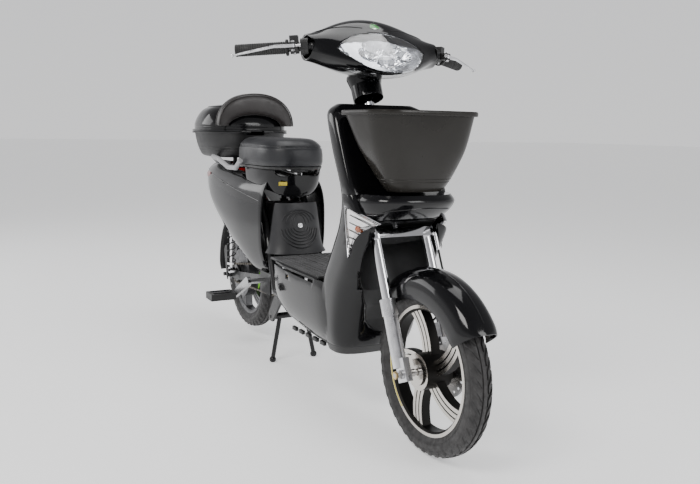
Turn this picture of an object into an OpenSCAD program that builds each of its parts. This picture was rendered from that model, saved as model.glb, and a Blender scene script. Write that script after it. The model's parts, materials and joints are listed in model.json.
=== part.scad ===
// Electric moped scooter with pedals, a front basket and a rear trunk.
// +X points forward, +Y to the rider's left, +Z up. The origin lies on the ground,
// midway between the front tyre's leading edge and the trunk's trailing edge.

/* [Chassis] */
// Distance between the two axles
wheelbase = 1253; // [1190:1:1320]
// How far the middle of the wheelbase lies in front of the origin
mid_shift = 58.5; // [40:0.5:80]
// How high the centre stand holds the rear wheel off the ground
rear_lift = 27; // [15:1:40]
// Height of the foot floor
floor_z = 386; // [370:1:400]
// Half the width over the side covers
body_half_w = 145; // [138:1:155]
// Wall of the plastic covers
cover_wall = 3.5; // [2.5:0.1:4.5]

/* [Wheels] */
// Outer radius of both tyres
tyre_r = 215; // [205:1:222]
// Width of both tyres
tyre_w = 62; // [50:1:66]
// Radius of the rim at the tyre bead
rim_r = 163; // [150:1:170]
// Number of cast spokes
spokes = 5; // [3:1:7]
// Radius of the front axle
axle_r = 6; // [5:0.5:8]
// Radius of the brake rotor
rotor_r = 76; // [65:1:82]
// Distance from the middle to the brake rotor
rotor_y = 49; // [48:0.5:50]
// Thickness of the brake rotor
rotor_wall = 3; // [2:0.1:3.4]
// Radius of the hub motor's case
motor_r = 92; // [80:1:105]

/* [Fork and steering] */
// Angle of the steering axis from the vertical
rake = 24; // [20:0.5:28]
// Distance from the steering axis forward to the front axle
axle_lead = 42; // [36:1:48]
// Distance from the steering axis forward to the fork legs
leg_lead = 25; // [20:1:30]
// Half the distance between the fork legs
leg_y = 77; // [72:1:82]
// Radius of the chromed stanchions
stanchion_r = 13; // [11:0.5:15]
// Radius of the lower legs
leg_r = 18; // [16:0.5:20]
// Height of the lower legs' top along the steering axis
leg_top = 190; // [175:1:200]
// Height of the lower crown along the steering axis
crown_z = 345; // [335:1:355]
// Travel of the front fork
fork_travel = 50; // [40:1:55]

/* [Handlebar] */
// Forward position of the handlebar's middle
bar_x = 362; // [350:1:375]
// Height of the handlebar's middle
bar_z = 1015; // [1000:1:1030]
// Half the straight middle stretch of the handlebar
bend_y = 180; // [170:1:190]
// Length of each swept handlebar end
bar_end = 203; // [195:1:215]
// Backward sweep of the handlebar ends
bar_sweep = 30; // [20:1:38]
// Downward slope of the handlebar ends
bar_droop = 4; // [0:0.5:8]
// Radius of the handlebar tube
bar_r = 11; // [10:0.1:12]
// Outer radius of the grips
grip_r = 16; // [14.5:0.5:17.5]
// Length of the grips
grip_len = 125; // [110:1:130]
// Radius of the mirror threads, M8
mirror_r = 4; // [3:0.5:5]

/* [Drive] */
// Forward position of the crank axle
crank_x = -203; // [-215:1:-190]
// Height of the crank axle
crank_z = 283; // [275:1:295]
// Length of the crank arms
crank_len = 150; // [130:1:155]
// Distance from the middle to the crank arms
crank_y = 147; // [144:1:160]
// Radius of the chainring
chainring_r = 50; // [40:1:54]
// Radius of the freewheel
freewheel_r = 32; // [28:1:40]

/* [Seat and trunk] */
// Height of the seat's underside
seat_z = 668; // [660:1:680]
// Half the width of the seat
seat_half_w = 120; // [105:1:130]
// Height of the split between trunk and lid
trunk_z = 788; // [780:1:800]
// Half the width over the trunk's flange
trunk_half_w = 176; // [160:1:190]
// Half the length over the trunk's flange
trunk_half_l = 196; // [180:1:200]

/* [Basket] */
// Height of the basket's rim
basket_z = 850; // [835:1:860]
// Half the width of the basket at its rim
basket_half_w = 160; // [150:1:170]
// Wall of the basket
basket_wall = 3; // [2:0.5:4]

/* [Fits] */
// Radial clearance of running fits
run_gap = 0.05; // [0.02:0.01:0.1]
// Gap between parts that don't touch
free_gap = 0.6; // [0.4:0.1:1.5]

/* [Hidden] */
$fn = 48;
ring_n = 28;

front_x = wheelbase / 2 + mid_shift;
rear_x = front_x - wheelbase;
front_z = tyre_r;
rear_z = tyre_r + rear_lift;
// Foot of the perpendicular from the front axle to the steering axis
steer_x = front_x - axle_lead * cos(rake);
steer_z = front_z - axle_lead * sin(rake);

function axis_x(z) = steer_x - (z - steer_z) * tan(rake);
function mix(a, b, t) = a + (b - a) * t;
function unit(v) = v / norm(v);
function bend(c, e) = sign(c) * pow(abs(c), 2 / e);

// Closed outline in a level plane: rear and front x, half width, squareness and forward bow
function level_ring(z, x0, x1, ry, e = 2.6, bow = 0, n = ring_n) =
    [for (i = [0:n - 1]) let (t = 360 * i / n, v = bend(sin(t), e))
        [(x0 + x1) / 2 + (x1 - x0) / 2 * bend(cos(t), e) + bow * v * v, ry * v, z]];

// Closed outline in an upright plane across the scooter: lowest and highest z, half width
function cross_ring(x, z0, z1, ry, e = 2.6, n = ring_n) =
    [for (i = [0:n - 1]) let (t = 360 * i / n)
        [x, ry * bend(cos(t), e), (z0 + z1) / 2 + (z1 - z0) / 2 * bend(sin(t), e)]];

module loft(rings) {
    n = len(rings[0]);
    m = len(rings);
    side = [for (k = [0:m - 2], i = [0:n - 1]) let (a = k * n + i, b = k * n + (i + 1) % n)
        [[a, a + n, b + n], [a, b + n, b]]];
    polyhedron(
        points = [for (r = rings, p = r) p],
        faces = concat([for (s = side, f = s) f],
            [[for (i = [0:n - 1]) i]], [[for (i = [0:n - 1]) m * n - 1 - i]]));
}

module rod(a, b, r) {
    d = b - a;
    translate(a) rotate([0, acos(d[2] / norm(d)), atan2(d[1], d[0])]) cylinder(h = norm(d), r = r);
}

// Rings of a tube through the points, mitred at each bend
function mitre(ring, p, d, n) = [for (q = ring) q + d * (((p - q) * n) / (d * n))];
function tube_rings(points, ring, k = 0) = k == len(points) - 1 ? [ring] :
    let (d = unit(points[k + 1] - points[k]),
        e = k + 2 < len(points) ? unit(points[k + 2] - points[k + 1]) : d)
    concat([ring], tube_rings(points, mitre(ring, points[k + 1], d, d + e), k + 1));

module pipe(points, r, sides = 16) {
    d = unit(points[1] - points[0]);
    u = unit(cross(d, abs(d[1]) > 0.7 ? [0, 0, 1] : [0, 1, 0]));
    v = cross(d, u);
    loft(tube_rings(points, [for (i = [0:sides - 1]) let (t = 360 * i / sides)
        points[0] + r * (u * cos(t) + v * sin(t))]));
}

module across(x, z, r, y0, y1) {
    translate([x, y1, z]) rotate([90, 0, 0]) cylinder(h = y1 - y0, r = r);
}

module mirrored() {
    children();
    mirror([0, 1, 0]) children();
}

module along_steering() {
    translate([steer_x, 0, steer_z]) rotate([0, -rake, 0]) children();
}

// Local z runs outward along the swept end, local x forward, local y down
module bar_side(side) {
    mirror([0, side < 0 ? 1 : 0, 0])
        translate([bar_x, bend_y, bar_z]) rotate([0, 0, bar_sweep])
            rotate([-90 - bar_droop, 0, 0]) children();
}

// ---------- body envelopes ----------

front_body_rows = [
    [186, 290, 412, 108, 0], [230, 292, 436, 126, 0], [300, 292, 458, 136, 0],
    [floor_z, 292, 492, 142, 4], [430, 305, 512, 143, 14], [490, 332, 532, 144, 28],
    [560, 368, 548, 146, 38], [640, 398, 508, 150, 40], [740, 353, 462, 152, 40],
    [820, 318, 424, 151, 40], [852, 308, 404, 142, 36], [870, 322, 380, 112, 24]];

module front_body(inset) {
    loft([for (r = front_body_rows)
        level_ring(r[0] + (r[0] > 800 ? -inset : 0), r[1] + inset, r[2] - inset,
            r[3] - inset, 3, r[4])]);
}

belly_rows = [[-28, 203, 128], [60, 190, 140], [200, 178, body_half_w], [330, 174, 144], [395, 180, 130]];

module belly(inset) {
    loft([for (r = belly_rows)
        cross_ring(r[0], r[1] + inset, 2 * floor_z - r[1] - inset, r[2] - inset, 3.4)]);
}

module lower_body(inset) {
    intersection() {
        union() {
            front_body(inset);
            intersection() {
                belly(inset);
                translate([-400, -300, 0]) cube([1200, 600, floor_z]);
            }
        }
        translate([-400, -300, 0]) cube([1200, 600, 640]);
    }
}

// Space that the wheel, fender and fork sweep about the steering axis
module steering_space(extra) {
    wheel_reach = tyre_r - axle_lead + 10;
    along_steering() rotate_extrude() polygon([[0, -160], [wheel_reach + extra, -160],
        [wheel_reach + extra, 62], [wheel_reach - 10 + extra, 118], [152 + extra, 168],
        [126 + extra, 202], [112 + extra, 240], [112 + extra, crown_z + 34 + extra],
        [0, crown_z + 34 + extra]]);
}

// Space over the rear wheel through its whole travel
module rear_wheel_space(extra) {
    across(rear_x, rear_z + 26, tyre_r + 42 + extra, -74 - extra, 74 + extra);
}

rear_body_rows = [
    [-845, 575, 655, 84], [-800, 530, 668, 104], [-700, 462, 676, 124], [-560, 392, 672, 134],
    [-400, 322, 668, 136], [-280, 285, 666, 130], [-150, 300, 664, 118]];

module rear_body(inset) {
    loft([for (r = rear_body_rows)
        cross_ring(r[0] + (r[0] < -820 ? inset : 0), r[1] + inset, r[2] - inset, r[3] - inset, 3)]);
}

module column(inset) {
    loft([level_ring(388, -330, -84 - inset, 116 - inset, 3),
        level_ring(420, -330, -98 - inset, 104 - inset, 3),
        level_ring(500, -330, -118 - inset, 99 - inset, 3),
        level_ring(580, -330, -138 - inset, 100 - inset, 3),
        level_ring(640, -330, -150 - inset, 96 - inset, 3)]);
}

module seat_bowl(inset) {
    loft([level_ring(556, -420, -168 - inset, 66 - inset, 2.4),
        level_ring(574, -440, -136 - inset, 92 - inset, 2.6),
        level_ring(610, -455, -116 - inset, 107 - inset, 2.8),
        level_ring(seat_z - 2, -470 + inset, -108 - inset, 113 - inset, 3)]);
}

// ---------- frame and body ----------

shock_x = -505;
shock_y = 107;
shock_low_z = 268;
shock_top_z = 560;
plate_y = 94;
// Pivot of the centre stand, a little behind its feet
stand_x = -172;
stand_z = 160;
stand_foot_x = -164;
stand_foot_y = 78;
seat_hinge_x = -121;
seat_hinge_z = 664;
seat_swing = 18.4;
head_bore = 14;

module main_frame() color([0.07, 0.07, 0.08]) {
    difference() {
        union() {
            along_steering() translate([0, 0, crown_z + 42]) cylinder(h = 170, r = 23);
            pipe([[428, 0, 664], [399, 0, 568], [360, 0, 490], [332, 0, 400], [326, 0, 262]], 17);
            for (s = [-1, 1]) {
                pipe([[326, 0, 262], [326, s * 88, 262], [-110, s * 88, 262], [-155, s * 84, 350],
                    [-300, s * 79, 625], [-560, s * 80, 640], [-770, s * 62, 640]], 13);
                rod([-180, s * 83, 396], [-480, s * 80, 637], 8);
                // Plates that carry the crank bearing and the swing arm
                translate([crank_x - 30, s * plate_y - 3, crank_z - 42]) cube([92, 6, 74]);
                across(crank_x, crank_z, 15, min(s * plate_y, s * 77), max(s * plate_y, s * 77));
                // Lug of the centre stand
                translate([0, s * 80 + 4, 0]) rotate([90, 0, 0]) linear_extrude(height = 8)
                    polygon([[stand_x - 14, stand_z - 14], [stand_x + 16, stand_z - 14],
                        [stand_x + 112, 254], [stand_x + 112, 266], [stand_x + 56, 266], [stand_x - 14, stand_z + 14]]);
                // Boss of the rear shock
                translate([shock_x - 12, s * 84 - 4, shock_top_z - 12]) cube([24, 8, 80]);
                across(shock_x, shock_top_z, 5, min(s * 84, s * 122), max(s * 84, s * 122));
            }
            // Cross tubes and the shelf of the battery box
            across(-122, 276, 11, -86, 86);
            across(-152, 350, 9, -84, 84);
            translate([-300, -52, battery_z - 4]) cube([150, 104, 3.6]);
            across(-60, 262, 11, -88, 88);
            // Bottom bracket shell and its bracket
            across(crank_x, crank_z, 21, -50, 50);
            rod([crank_x, 0, crank_z], [-122, 0, 276], 13);
            // Trunk plate on the rear rails
            translate([-780, -80, 652]) cube([230, 160, 6]);
            for (x = [-760, -600]) translate([x, 0, 655]) cylinder(h = 34, r = 9);
            // Seat hinge bracket
            rod([-288, -82, 600], [-288, 82, 600], 9);
            translate([-294, -8, 592]) cube([12, 16, 16]);
            translate([0, 6, 0]) rotate([90, 0, 0]) linear_extrude(height = 12) polygon([[-290, 594],
                [seat_hinge_x + 1, seat_hinge_z - 26], [seat_hinge_x + 5, seat_hinge_z],
                [seat_hinge_x - 6, seat_hinge_z], [seat_hinge_x - 6, seat_hinge_z - 14], [-290, 606]]);
            across(seat_hinge_x, seat_hinge_z, 7, -22, 22);
        }
        along_steering() cylinder(h = 700, r = head_bore + run_gap);
        across(crank_x, crank_z, 8.5 + run_gap, -200, 200);
        across(stand_x, stand_z, 5 + run_gap, -200, 200);
        across(seat_hinge_x, seat_hinge_z, 4 + run_gap, -60, 60);
    }
}

battery_size = [136, 132, 205];
battery_z = 342;
battery_wall = 4;

module battery_box() color([0.12, 0.12, 0.13]) translate([-308, -battery_size[1] / 2, battery_z]) difference() {
    cube(battery_size);
    translate([battery_wall, battery_wall, battery_wall])
        cube(battery_size - 2 * battery_wall * [1, 1, 1]);
    // Sockets of the charging lead and the motor lead
    translate([battery_size[0] - 2, 30, 150]) cube([4, 24, 16]);
    translate([battery_size[0] - 2, 78, 150]) cube([4, 30, 16]);
}

module leg_shield() color([0.03, 0.03, 0.035]) difference() {
    front_body(0);
    front_body(cover_wall);
    translate([0, -300, 0]) cube([900, 600, 640 + free_gap]);
    along_steering() cylinder(h = 900, r = head_bore + 3);
    // Key barrel hole on the rider's side
    translate([300, -58, 800]) rotate([0, -90, 0]) cylinder(h = 80, r = 11, center = true);
}

module front_panel() color([0.03, 0.03, 0.035]) difference() {
    loft([level_ring(576, 420, 590, 108, 2.6), level_ring(600, 412, 622, 126, 2.6),
        level_ring(626, 405, 643, 132, 2.6), level_ring(644, 405, 632, 124, 2.6)]);
    loft([level_ring(570, 412, 586, 104, 2.6), level_ring(600, 408, 618, 122, 2.6),
        level_ring(626, 402, 639, 128, 2.6), level_ring(640, 402, 628, 120, 2.6)]);
    front_body(-free_gap);
    steering_space(1);
    signal_pocket();
    mirror([0, 1, 0]) signal_pocket();
}

module inner_fender() color([0.05, 0.05, 0.055]) difference() {
    intersection() {
        front_body(cover_wall + 3 * free_gap);
        difference() {
            steering_space(4);
            steering_space(1);
        }
        translate([0, -140, 215]) cube([900, 280, 420]);
    }
    mirrored() signal_pocket();
    along_steering() cylinder(h = 700, r = 16);
    translate([428, 0, 600]) cube([130, 60, 30], center = true);
}

basket_rows = [[652, 548, 622, 76, 2.4], [668, 538, 632, 88, 2.6], [710, 512, 645, 112, 3],
    [765, 482, 657, 136, 3.4], [basket_z, 436, 668, basket_half_w - 6, 4]];

module basket_form(inset, lift) {
    loft([for (r = basket_rows) level_ring(r[0] + (r[0] < 660 ? lift : 0), r[1] + inset,
        r[2] - inset, r[3] - inset, r[4])]);
}

module basket() color([0.13, 0.12, 0.11]) difference() {
    union() {
        basket_form(0, 0);
        loft([level_ring(basket_z - 12, 428, 674, basket_half_w, 4),
            level_ring(basket_z, 428, 674, basket_half_w, 4)]);
    }
    basket_form(basket_wall, basket_wall);
    loft([level_ring(basket_z - 1, 439, 665, basket_half_w - 9, 4),
        level_ring(basket_z + 1, 439, 665, basket_half_w - 9, 4)]);
    front_body(-free_gap);
}

// Outline of a turn signal: top rear, top front, curved lower edge, bottom
signal_top = [482, -143, 612];
signal_front = [590, -93, 573];
signal_low = [500, -140, 476];
signal_bow = 26;

function signal_edge(t) = mix(signal_front, signal_low, t) + [-0.6, 0.1, 0.8] * signal_bow * 4 * t * (1 - t) / 1.2;
signal_out = unit(cross(signal_low - signal_top, signal_front - signal_top));

module signal_slab(d0, d1, shrink) {
    mid = (signal_top + signal_front + signal_low) / 3;
    outline = concat([signal_top], [for (k = [0:6]) signal_edge(1 - k / 6)]);
    small = [for (p = outline) mix(p, mid, shrink)];
    loft([[for (p = small) p + signal_out * d0], [for (p = small) p + signal_out * d1]]);
}

module signal_pocket() signal_slab(-14, 30, -0.012);

module front_signal_housings() color([0.85, 0.85, 0.87]) mirrored() difference() {
    signal_slab(-12, 5, 0);
    signal_slab(-8, 8, 0.08);
}

module front_signal_lenses() color([0.95, 0.85, 0.8, 0.6]) mirrored() signal_slab(-2, 8, 0.085);

module side_cover_half() difference() {
    lower_body(0);
    lower_body(cover_wall);
    steering_space(1);
    signal_pocket();
    // The floor and the belly tray close the top and the bottom
    translate([-400, -300, floor_z - 14]) cube([292 + 400 + 6, 600, 40]);
    translate([-400, -300, 0]) cube([900, 600, 212]);
    translate([-400, -free_gap / 2, 0]) cube([1200, 400, 900]);
    // Slanted vent slot
    translate([496, -112, 412]) rotate([0, 24, 0]) cube([9, 60, 60], center = true);
}

module right_side_cover() color([0.03, 0.03, 0.035]) difference() {
    side_cover_half();
    // Charging socket
    translate([105, -140, 356]) cube([24, 40, 16], center = true);
}

module left_side_cover() color([0.03, 0.03, 0.035]) mirror([0, 1, 0]) side_cover_half();

module belly_tray() color([0.06, 0.06, 0.065]) difference() {
    intersection() {
        difference() {
            lower_body(0);
            lower_body(cover_wall);
        }
        translate([-400, -300, 0]) cube([900, 600, 211]);
    }
    for (s = [-1, 1]) for (k = [0:2]) translate([40 + 60 * k, s * 135, 204]) cube([42, 40, 6], center = true);
    translate([-60, 0, 190]) cube([60, 180, 60], center = true);
}

module footboard() color([0.06, 0.06, 0.065]) difference() {
    intersection() {
        translate([-100, -136, floor_z - 10]) cube([392, 272, 7]);
        union() {
            belly(cover_wall + free_gap);
            translate([-100, -112, 0]) cube([160, 224, 500]);
        }
    }
    column(-free_gap);
    front_body(-free_gap);
    pipe([[360, 0, 490], [332, 0, 400], [326, 0, 262]], 19);
}

module floor_mat() color([0.2, 0.2, 0.21]) difference() {
    translate([-68, -122, floor_z - 3]) cube([354, 244, 5]);
    column(-free_gap);
    front_body(-free_gap);
    for (k = [0:11]) translate([-60, -113 + k * 19.5, floor_z + 1]) cube([330, 10, 3]);
}

module column_cover() color([0.2, 0.2, 0.21]) difference() {
    column(0);
    column(cover_wall);
    translate([-400, -300, 300]) cube([400 - 215, 600, 500]);
    translate([-400, -300, 300]) cube([800, 600, floor_z - 300 + 1]);
    translate([-400, -300, 555]) cube([800, 600, 200]);
    rear_body(-free_gap);
}

module under_seat_cover() color([0.04, 0.04, 0.045]) difference() {
    seat_bowl(0);
    seat_bowl(cover_wall);
    column(free_gap);
    translate([-600, -300, 500]) cube([600 - 335, 600, 300]);
    translate([-330, -70, 540]) cube([160, 140, 40]);
    // Room for the front edge of the seat as it tips
    across(seat_hinge_x, seat_hinge_z, seat_swing, -seat_half_w, seat_half_w);
}

module rear_cover_half() difference() {
    rear_body(0);
    rear_body(cover_wall);
    rear_wheel_space(2);
    seat_bowl(-free_gap);
    translate([-1000, -74, 0]) cube([1000, 400, 560]);
    translate([-1000, -free_gap / 2, 0]) cube([1000, 400, 900]);
    translate([-500, -96, 560]) cube([400, 200, 200]);
    translate([-800, -84, 640]) cube([320, 200, 60]);
    translate([-900, -74, 588]) cube([60, 150, 54]);
    translate([-170, -200, 200]) cube([200, 300, 600]);
    // Bearing of the crank
    across(crank_x, crank_z, 26, -200, 0);
    // Notch that the shock passes through
    translate([shock_x - 27, -shock_y - 22, 200]) cube([54, 70, 400]);
}

module right_rear_cover() color([0.06, 0.06, 0.065]) rear_cover_half();
module left_rear_cover() color([0.06, 0.06, 0.065]) mirror([0, 1, 0]) rear_cover_half();

module tail_lamp() color([0.7, 0.05, 0.04]) difference() {
    translate([-862, -72, 590]) cube([44, 144, 50]);
    translate([-850, -66, 596]) cube([40, 132, 38]);
}

module rear_fender() color([0.05, 0.05, 0.055]) difference() {
    translate([rear_x, 0, rear_z]) rotate([90, 0, 0]) rotate([0, 0, 35])
        rotate_extrude(angle = 152, $fn = 96) polygon([[tyre_r + 34, -46], [tyre_r + 46, -50],
            [tyre_r + 56, -34], [tyre_r + 56, 34], [tyre_r + 46, 50], [tyre_r + 34, 46],
            [tyre_r + 43, 46], [tyre_r + 53, 32], [tyre_r + 53, -32], [tyre_r + 43, -46]]);
}

module grab_rail() color([0.75, 0.75, 0.76]) mirrored()
    pipe([[-340, -128, 690], [-372, -134, 662], [-430, -143, 662], [-520, -149, 688],
        [-588, -147, 694], [-640, -112, 673], [-640, -66, 667.4]], 9);

// ---------- trunk ----------

trunk_cx = -900 + trunk_half_l;

function trunk_ring(z, grow) = level_ring(z, trunk_cx - trunk_half_l - grow,
    trunk_cx + trunk_half_l * 0.96 + grow, trunk_half_w + grow, 2.6);

// Hinge of the trunk lid, in front of the flanges
trunk_pin_x = trunk_cx + trunk_half_l * 0.96 + 6;
trunk_pin_r = 2.5;
knuckle_r = 5.5;
knuckle_len = 18;

module hinge_relief() {
    for (s = [-1, 1]) translate([trunk_pin_x, s * 45, trunk_z])
        rotate([90, 0, 0]) cylinder(h = 2 * knuckle_len + 6, r = knuckle_r + free_gap, center = true);
}

// One knuckle with the leaf that joins it to a flange
module knuckle(y, z0) {
    across(trunk_pin_x, trunk_z, knuckle_r, y - knuckle_len / 2, y + knuckle_len / 2);
    translate([trunk_pin_x - 14, y - knuckle_len / 2, z0]) cube([14, knuckle_len, 4]);
}

module trunk_tub() color([0.05, 0.05, 0.055]) {
    trunk_shell();
    for (s = [-1, 1]) {
        knuckle(s * 36, trunk_z - 5.5);
        across(trunk_pin_x, trunk_z, trunk_pin_r, s * 46 - 20, s * 46 + 20);
    }
}

module trunk_shell() difference() {
    union() {
        loft([trunk_ring(690, -52), trunk_ring(700, -34), trunk_ring(740, -18), trunk_ring(trunk_z - 7, -10)]);
        loft([trunk_ring(trunk_z - 7, 0), trunk_ring(trunk_z, 0)]);
    }
    loft([trunk_ring(693.5, -56), trunk_ring(703, -38), trunk_ring(740, -22), trunk_ring(trunk_z + 1, -13.5)]);
    hinge_relief();
}

module trunk_lid() color([0.05, 0.05, 0.055]) {
    difference() {
        for (s = [-1, 1]) knuckle(s * (36 + knuckle_len + free_gap), trunk_z + 1.5);
        across(trunk_pin_x, trunk_z, trunk_pin_r + run_gap, -100, 100);
    }
    difference() {
        union() {
            loft([trunk_ring(trunk_z + 8, -8), trunk_ring(838, -16), trunk_ring(870, -38),
                trunk_ring(888, -72), trunk_ring(895, -110)]);
            loft([trunk_ring(trunk_z + free_gap, 0), trunk_ring(trunk_z + 8, 0)]);
        }
        loft([trunk_ring(trunk_z - 2, -12), trunk_ring(838, -20), trunk_ring(868, -42),
            trunk_ring(885, -76), trunk_ring(891, -114)]);
        hinge_relief();
        backrest_form(0.3);
    }
}

module backrest_form(grow) {
    intersection() {
        translate([trunk_cx + trunk_half_l - 48 - grow, 0, trunk_z + 22]) rotate([90, 0, 90])
            linear_extrude(height = 46 + 2 * grow) difference() {
                scale_arch(150 + grow, 122 + grow);
                translate([0, -20]) scale_arch(112 - grow, 60 - grow);
                translate([-200, -201 - grow]) square([400, 200]);
            }
        translate([-900, -200, 0]) cube([900, 400, 1000]);
    }
}

module scale_arch(w, h) polygon([for (k = [0:24]) let (t = 180 * k / 24) [w * bend(cos(t), 2.2), h * bend(sin(t), 2.2)]]);

module backrest_pad() color([0.24, 0.23, 0.22]) backrest_form(0);

// ---------- seat ----------

module seat_base() color([0.06, 0.06, 0.065]) {
    difference() {
        loft([level_ring(seat_z, -476, -106, seat_half_w - 8, 3.2),
            level_ring(seat_z + 8, -478, -104, seat_half_w - 5, 3.2)]);
        loft([level_ring(seat_z - 1, -466, -150, seat_half_w - 18, 3.2),
            level_ring(seat_z + 4, -466, -150, seat_half_w - 18, 3.2)]);
        across(seat_hinge_x, seat_hinge_z, 7 + free_gap, -22 - free_gap, 22 + free_gap);
    }
    for (s = [-1, 1]) {
        across(seat_hinge_x, seat_hinge_z, 6.5, min(s * 23, s * 29), max(s * 23, s * 29));
        translate([seat_hinge_x - 5.5, s * 26 - 3, seat_hinge_z]) cube([11, 6, seat_z + 2 - seat_hinge_z]);
    }
    across(seat_hinge_x, seat_hinge_z, 4, -27, 27);
}

module seat_cushion() color([0.05, 0.055, 0.07])
    loft([level_ring(seat_z + 8.2, -476, -108, seat_half_w - 6, 3.2),
        level_ring(seat_z + 30, -484, -98, seat_half_w, 3),
        level_ring(seat_z + 70, -480, -104, seat_half_w - 4, 3),
        level_ring(seat_z + 96, -470, -126, seat_half_w - 22, 2.8),
        level_ring(seat_z + 108, -456, -170, seat_half_w - 48, 2.6)]);

// ---------- fork and front wheel ----------

module fork_upper() color([0.8, 0.8, 0.82]) difference() {
    along_steering() {
        for (s = [-1, 1]) translate([leg_lead, s * leg_y, leg_top - 120])
            cylinder(h = crown_z + 26 - leg_top + 120, r = stanchion_r);
        difference() {
            union() {
                translate([0, 0, crown_z]) linear_extrude(height = 24) hull() {
                    for (s = [-1, 1]) translate([leg_lead, s * leg_y]) circle(r = 21);
                    circle(r = 27);
                }
                translate([0, 0, crown_z + 20]) cylinder(h = 500, r = head_bore);
                // Guide tube of the brake hose
                translate([hose_route[0][0], hose_route[0][1], crown_z - 41]) cylinder(h = 48, r = hose_r + 1.6);
            }
            translate([0, 0, crown_z + 40]) cylinder(h = 600, r = 9);
            translate([hose_route[0][0], hose_route[0][1], crown_z - 50]) cylinder(h = 100, r = hose_r + 0.4);
        }
    }
}

module fork_legs() color([0.78, 0.78, 0.8]) along_steering() difference() {
    for (s = [-1, 1]) translate([leg_lead, s * leg_y, 0]) {
        translate([0, 0, 17]) cylinder(h = leg_top - 57, r = leg_r);
        translate([0, 0, leg_top - 42]) cylinder(h = 42, r = leg_r + 2.5);
        translate([-6, -9, -19]) cube([axle_lead - leg_lead + 22, 18, 58]);
    }
    for (s = [-1, 1]) translate([leg_lead, s * leg_y, leg_top - fork_travel - 124]) cylinder(h = 400, r = stanchion_r + run_gap);
    translate([axle_lead, 0, 0]) rotate([90, 0, 0]) cylinder(h = 300, r = axle_r + run_gap, center = true);
}

module front_axle() color([0.7, 0.6, 0.4]) {
    across(front_x, front_z, axle_r, -108, 108);
    for (s = [-1, 1]) {
        across(front_x, front_z, 11, s * 91 - 4.5, s * 91 + 4.5);
        across(front_x, front_z, 9.5, s * 59.5 - 8, s * 59.5 + 8);
    }
}

module front_fender() color([0.04, 0.04, 0.045]) {
    difference() {
        union() {
            translate([front_x, 0, front_z]) rotate([90, 0, 0]) rotate([0, 0, 34])
                rotate_extrude(angle = 96, $fn = 96) polygon([[178, -54], [196, -55.5], [236, -50],
                    [252, -30], [256, 0], [252, 30], [236, 50], [196, 55.5], [178, 54], [178, 51.5],
                    [196, 53], [234, 47.5], [249, 28], [253, 0], [249, -28], [234, -47.5], [196, -53],
                    [178, -51.5]]);
            // Brackets to the fork legs
            for (s = [-1, 1]) along_steering() translate([leg_lead - 8, s * 54.2 - 2, 150]) cube([46, 4, 38]);
        }
        // The tip narrows forward
        mirrored() translate([front_x + 148, 36, 300]) rotate([0, 0, 20]) translate([-60, 0, 0]) cube([260, 90, 200]);
        translate([front_x + 60, -80, 300]) rotate([0, -20, 0]) translate([0, 0, -60]) cube([200, 160, 60]);
    }
}

module brake_caliper() color([0.25, 0.25, 0.26]) difference() {
    along_steering() translate([leg_lead - 58, 40, 58]) cube([66, 18, 58]);
    across(front_x, front_z, rotor_r + 4, rotor_y - rotor_wall / 2 - 1.5, rotor_y + rotor_wall / 2 + 1.5);
    along_steering() translate([leg_lead, leg_y, 0]) cylinder(h = 300, r = leg_r + free_gap);
}

module front_tyre() color([0.05, 0.05, 0.05]) tyre_at(front_x, front_z);
module rear_tyre() color([0.05, 0.05, 0.05]) tyre_at(rear_x, rear_z);

module tyre_at(x, z) {
    w = tyre_w / 2;
    translate([x, 0, z]) rotate([90, 0, 0]) rotate_extrude($fn = 96) polygon([
        [rim_r + 1, -w + 13], [rim_r + 6, -w + 8], [rim_r + 18, -w + 2], [rim_r + 30, -w],
        [tyre_r - 12, -w + 3], [tyre_r - 4, -w + 12], [tyre_r, -8], [tyre_r, 8],
        [tyre_r - 4, w - 12], [tyre_r - 12, w - 3], [rim_r + 30, w], [rim_r + 18, w - 2],
        [rim_r + 6, w - 8], [rim_r + 1, w - 13], [rim_r + 1, w - 17], [rim_r + 22, w - 7],
        [tyre_r - 16, w - 10], [tyre_r - 9, 0], [tyre_r - 16, -w + 10], [rim_r + 22, -w + 7],
        [rim_r + 1, -w + 17]]);
}

module rim_ring(x, z) {
    w = tyre_w / 2 - 11;
    translate([x, 0, z]) rotate([90, 0, 0]) rotate_extrude($fn = 96) polygon([
        [rim_r - 13, -w + 4], [rim_r - 8, -w - 1], [rim_r + 0.6, -w - 1], [rim_r + 0.6, -w + 6],
        [rim_r - 6, -w + 8], [rim_r - 6, w - 8], [rim_r + 0.6, w - 6], [rim_r + 0.6, w + 1],
        [rim_r - 8, w + 1], [rim_r - 13, w - 4]]);
}

// One swept spoke made of three parallel bars
module spoke(inner, outer, thick) {
    for (k = [-1:1]) translate([0, 0, -thick / 2]) linear_extrude(height = thick)
        intersection() {
            translate([0, 150]) difference() {
                circle(r = 152 + 14 * k);
                circle(r = 142 + 14 * k);
            }
            translate([0, -30]) square([outer, 150]);
            difference() {
                circle(r = outer);
                circle(r = inner);
            }
        }
}

module front_rim() color([0.72, 0.72, 0.74]) difference() {
    union() {
        rim_ring(front_x, front_z);
        translate([front_x, 0, front_z]) rotate([90, 0, 0]) {
            for (k = [0:spokes - 1]) rotate([0, 0, k * 360 / spokes + 10]) spoke(42, rim_r - 9, 26);
            translate([0, 0, -32]) cylinder(h = 74, r = 46);
            translate([0, 0, 42]) cylinder(h = 5, r = 33);
            // Flange that the rotor is bolted to
            translate([0, 0, -rotor_y + rotor_wall / 2]) cylinder(h = 20, r = 30);
        }
    }
    across(front_x, front_z, axle_r + run_gap, -80, 80);
}

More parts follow.
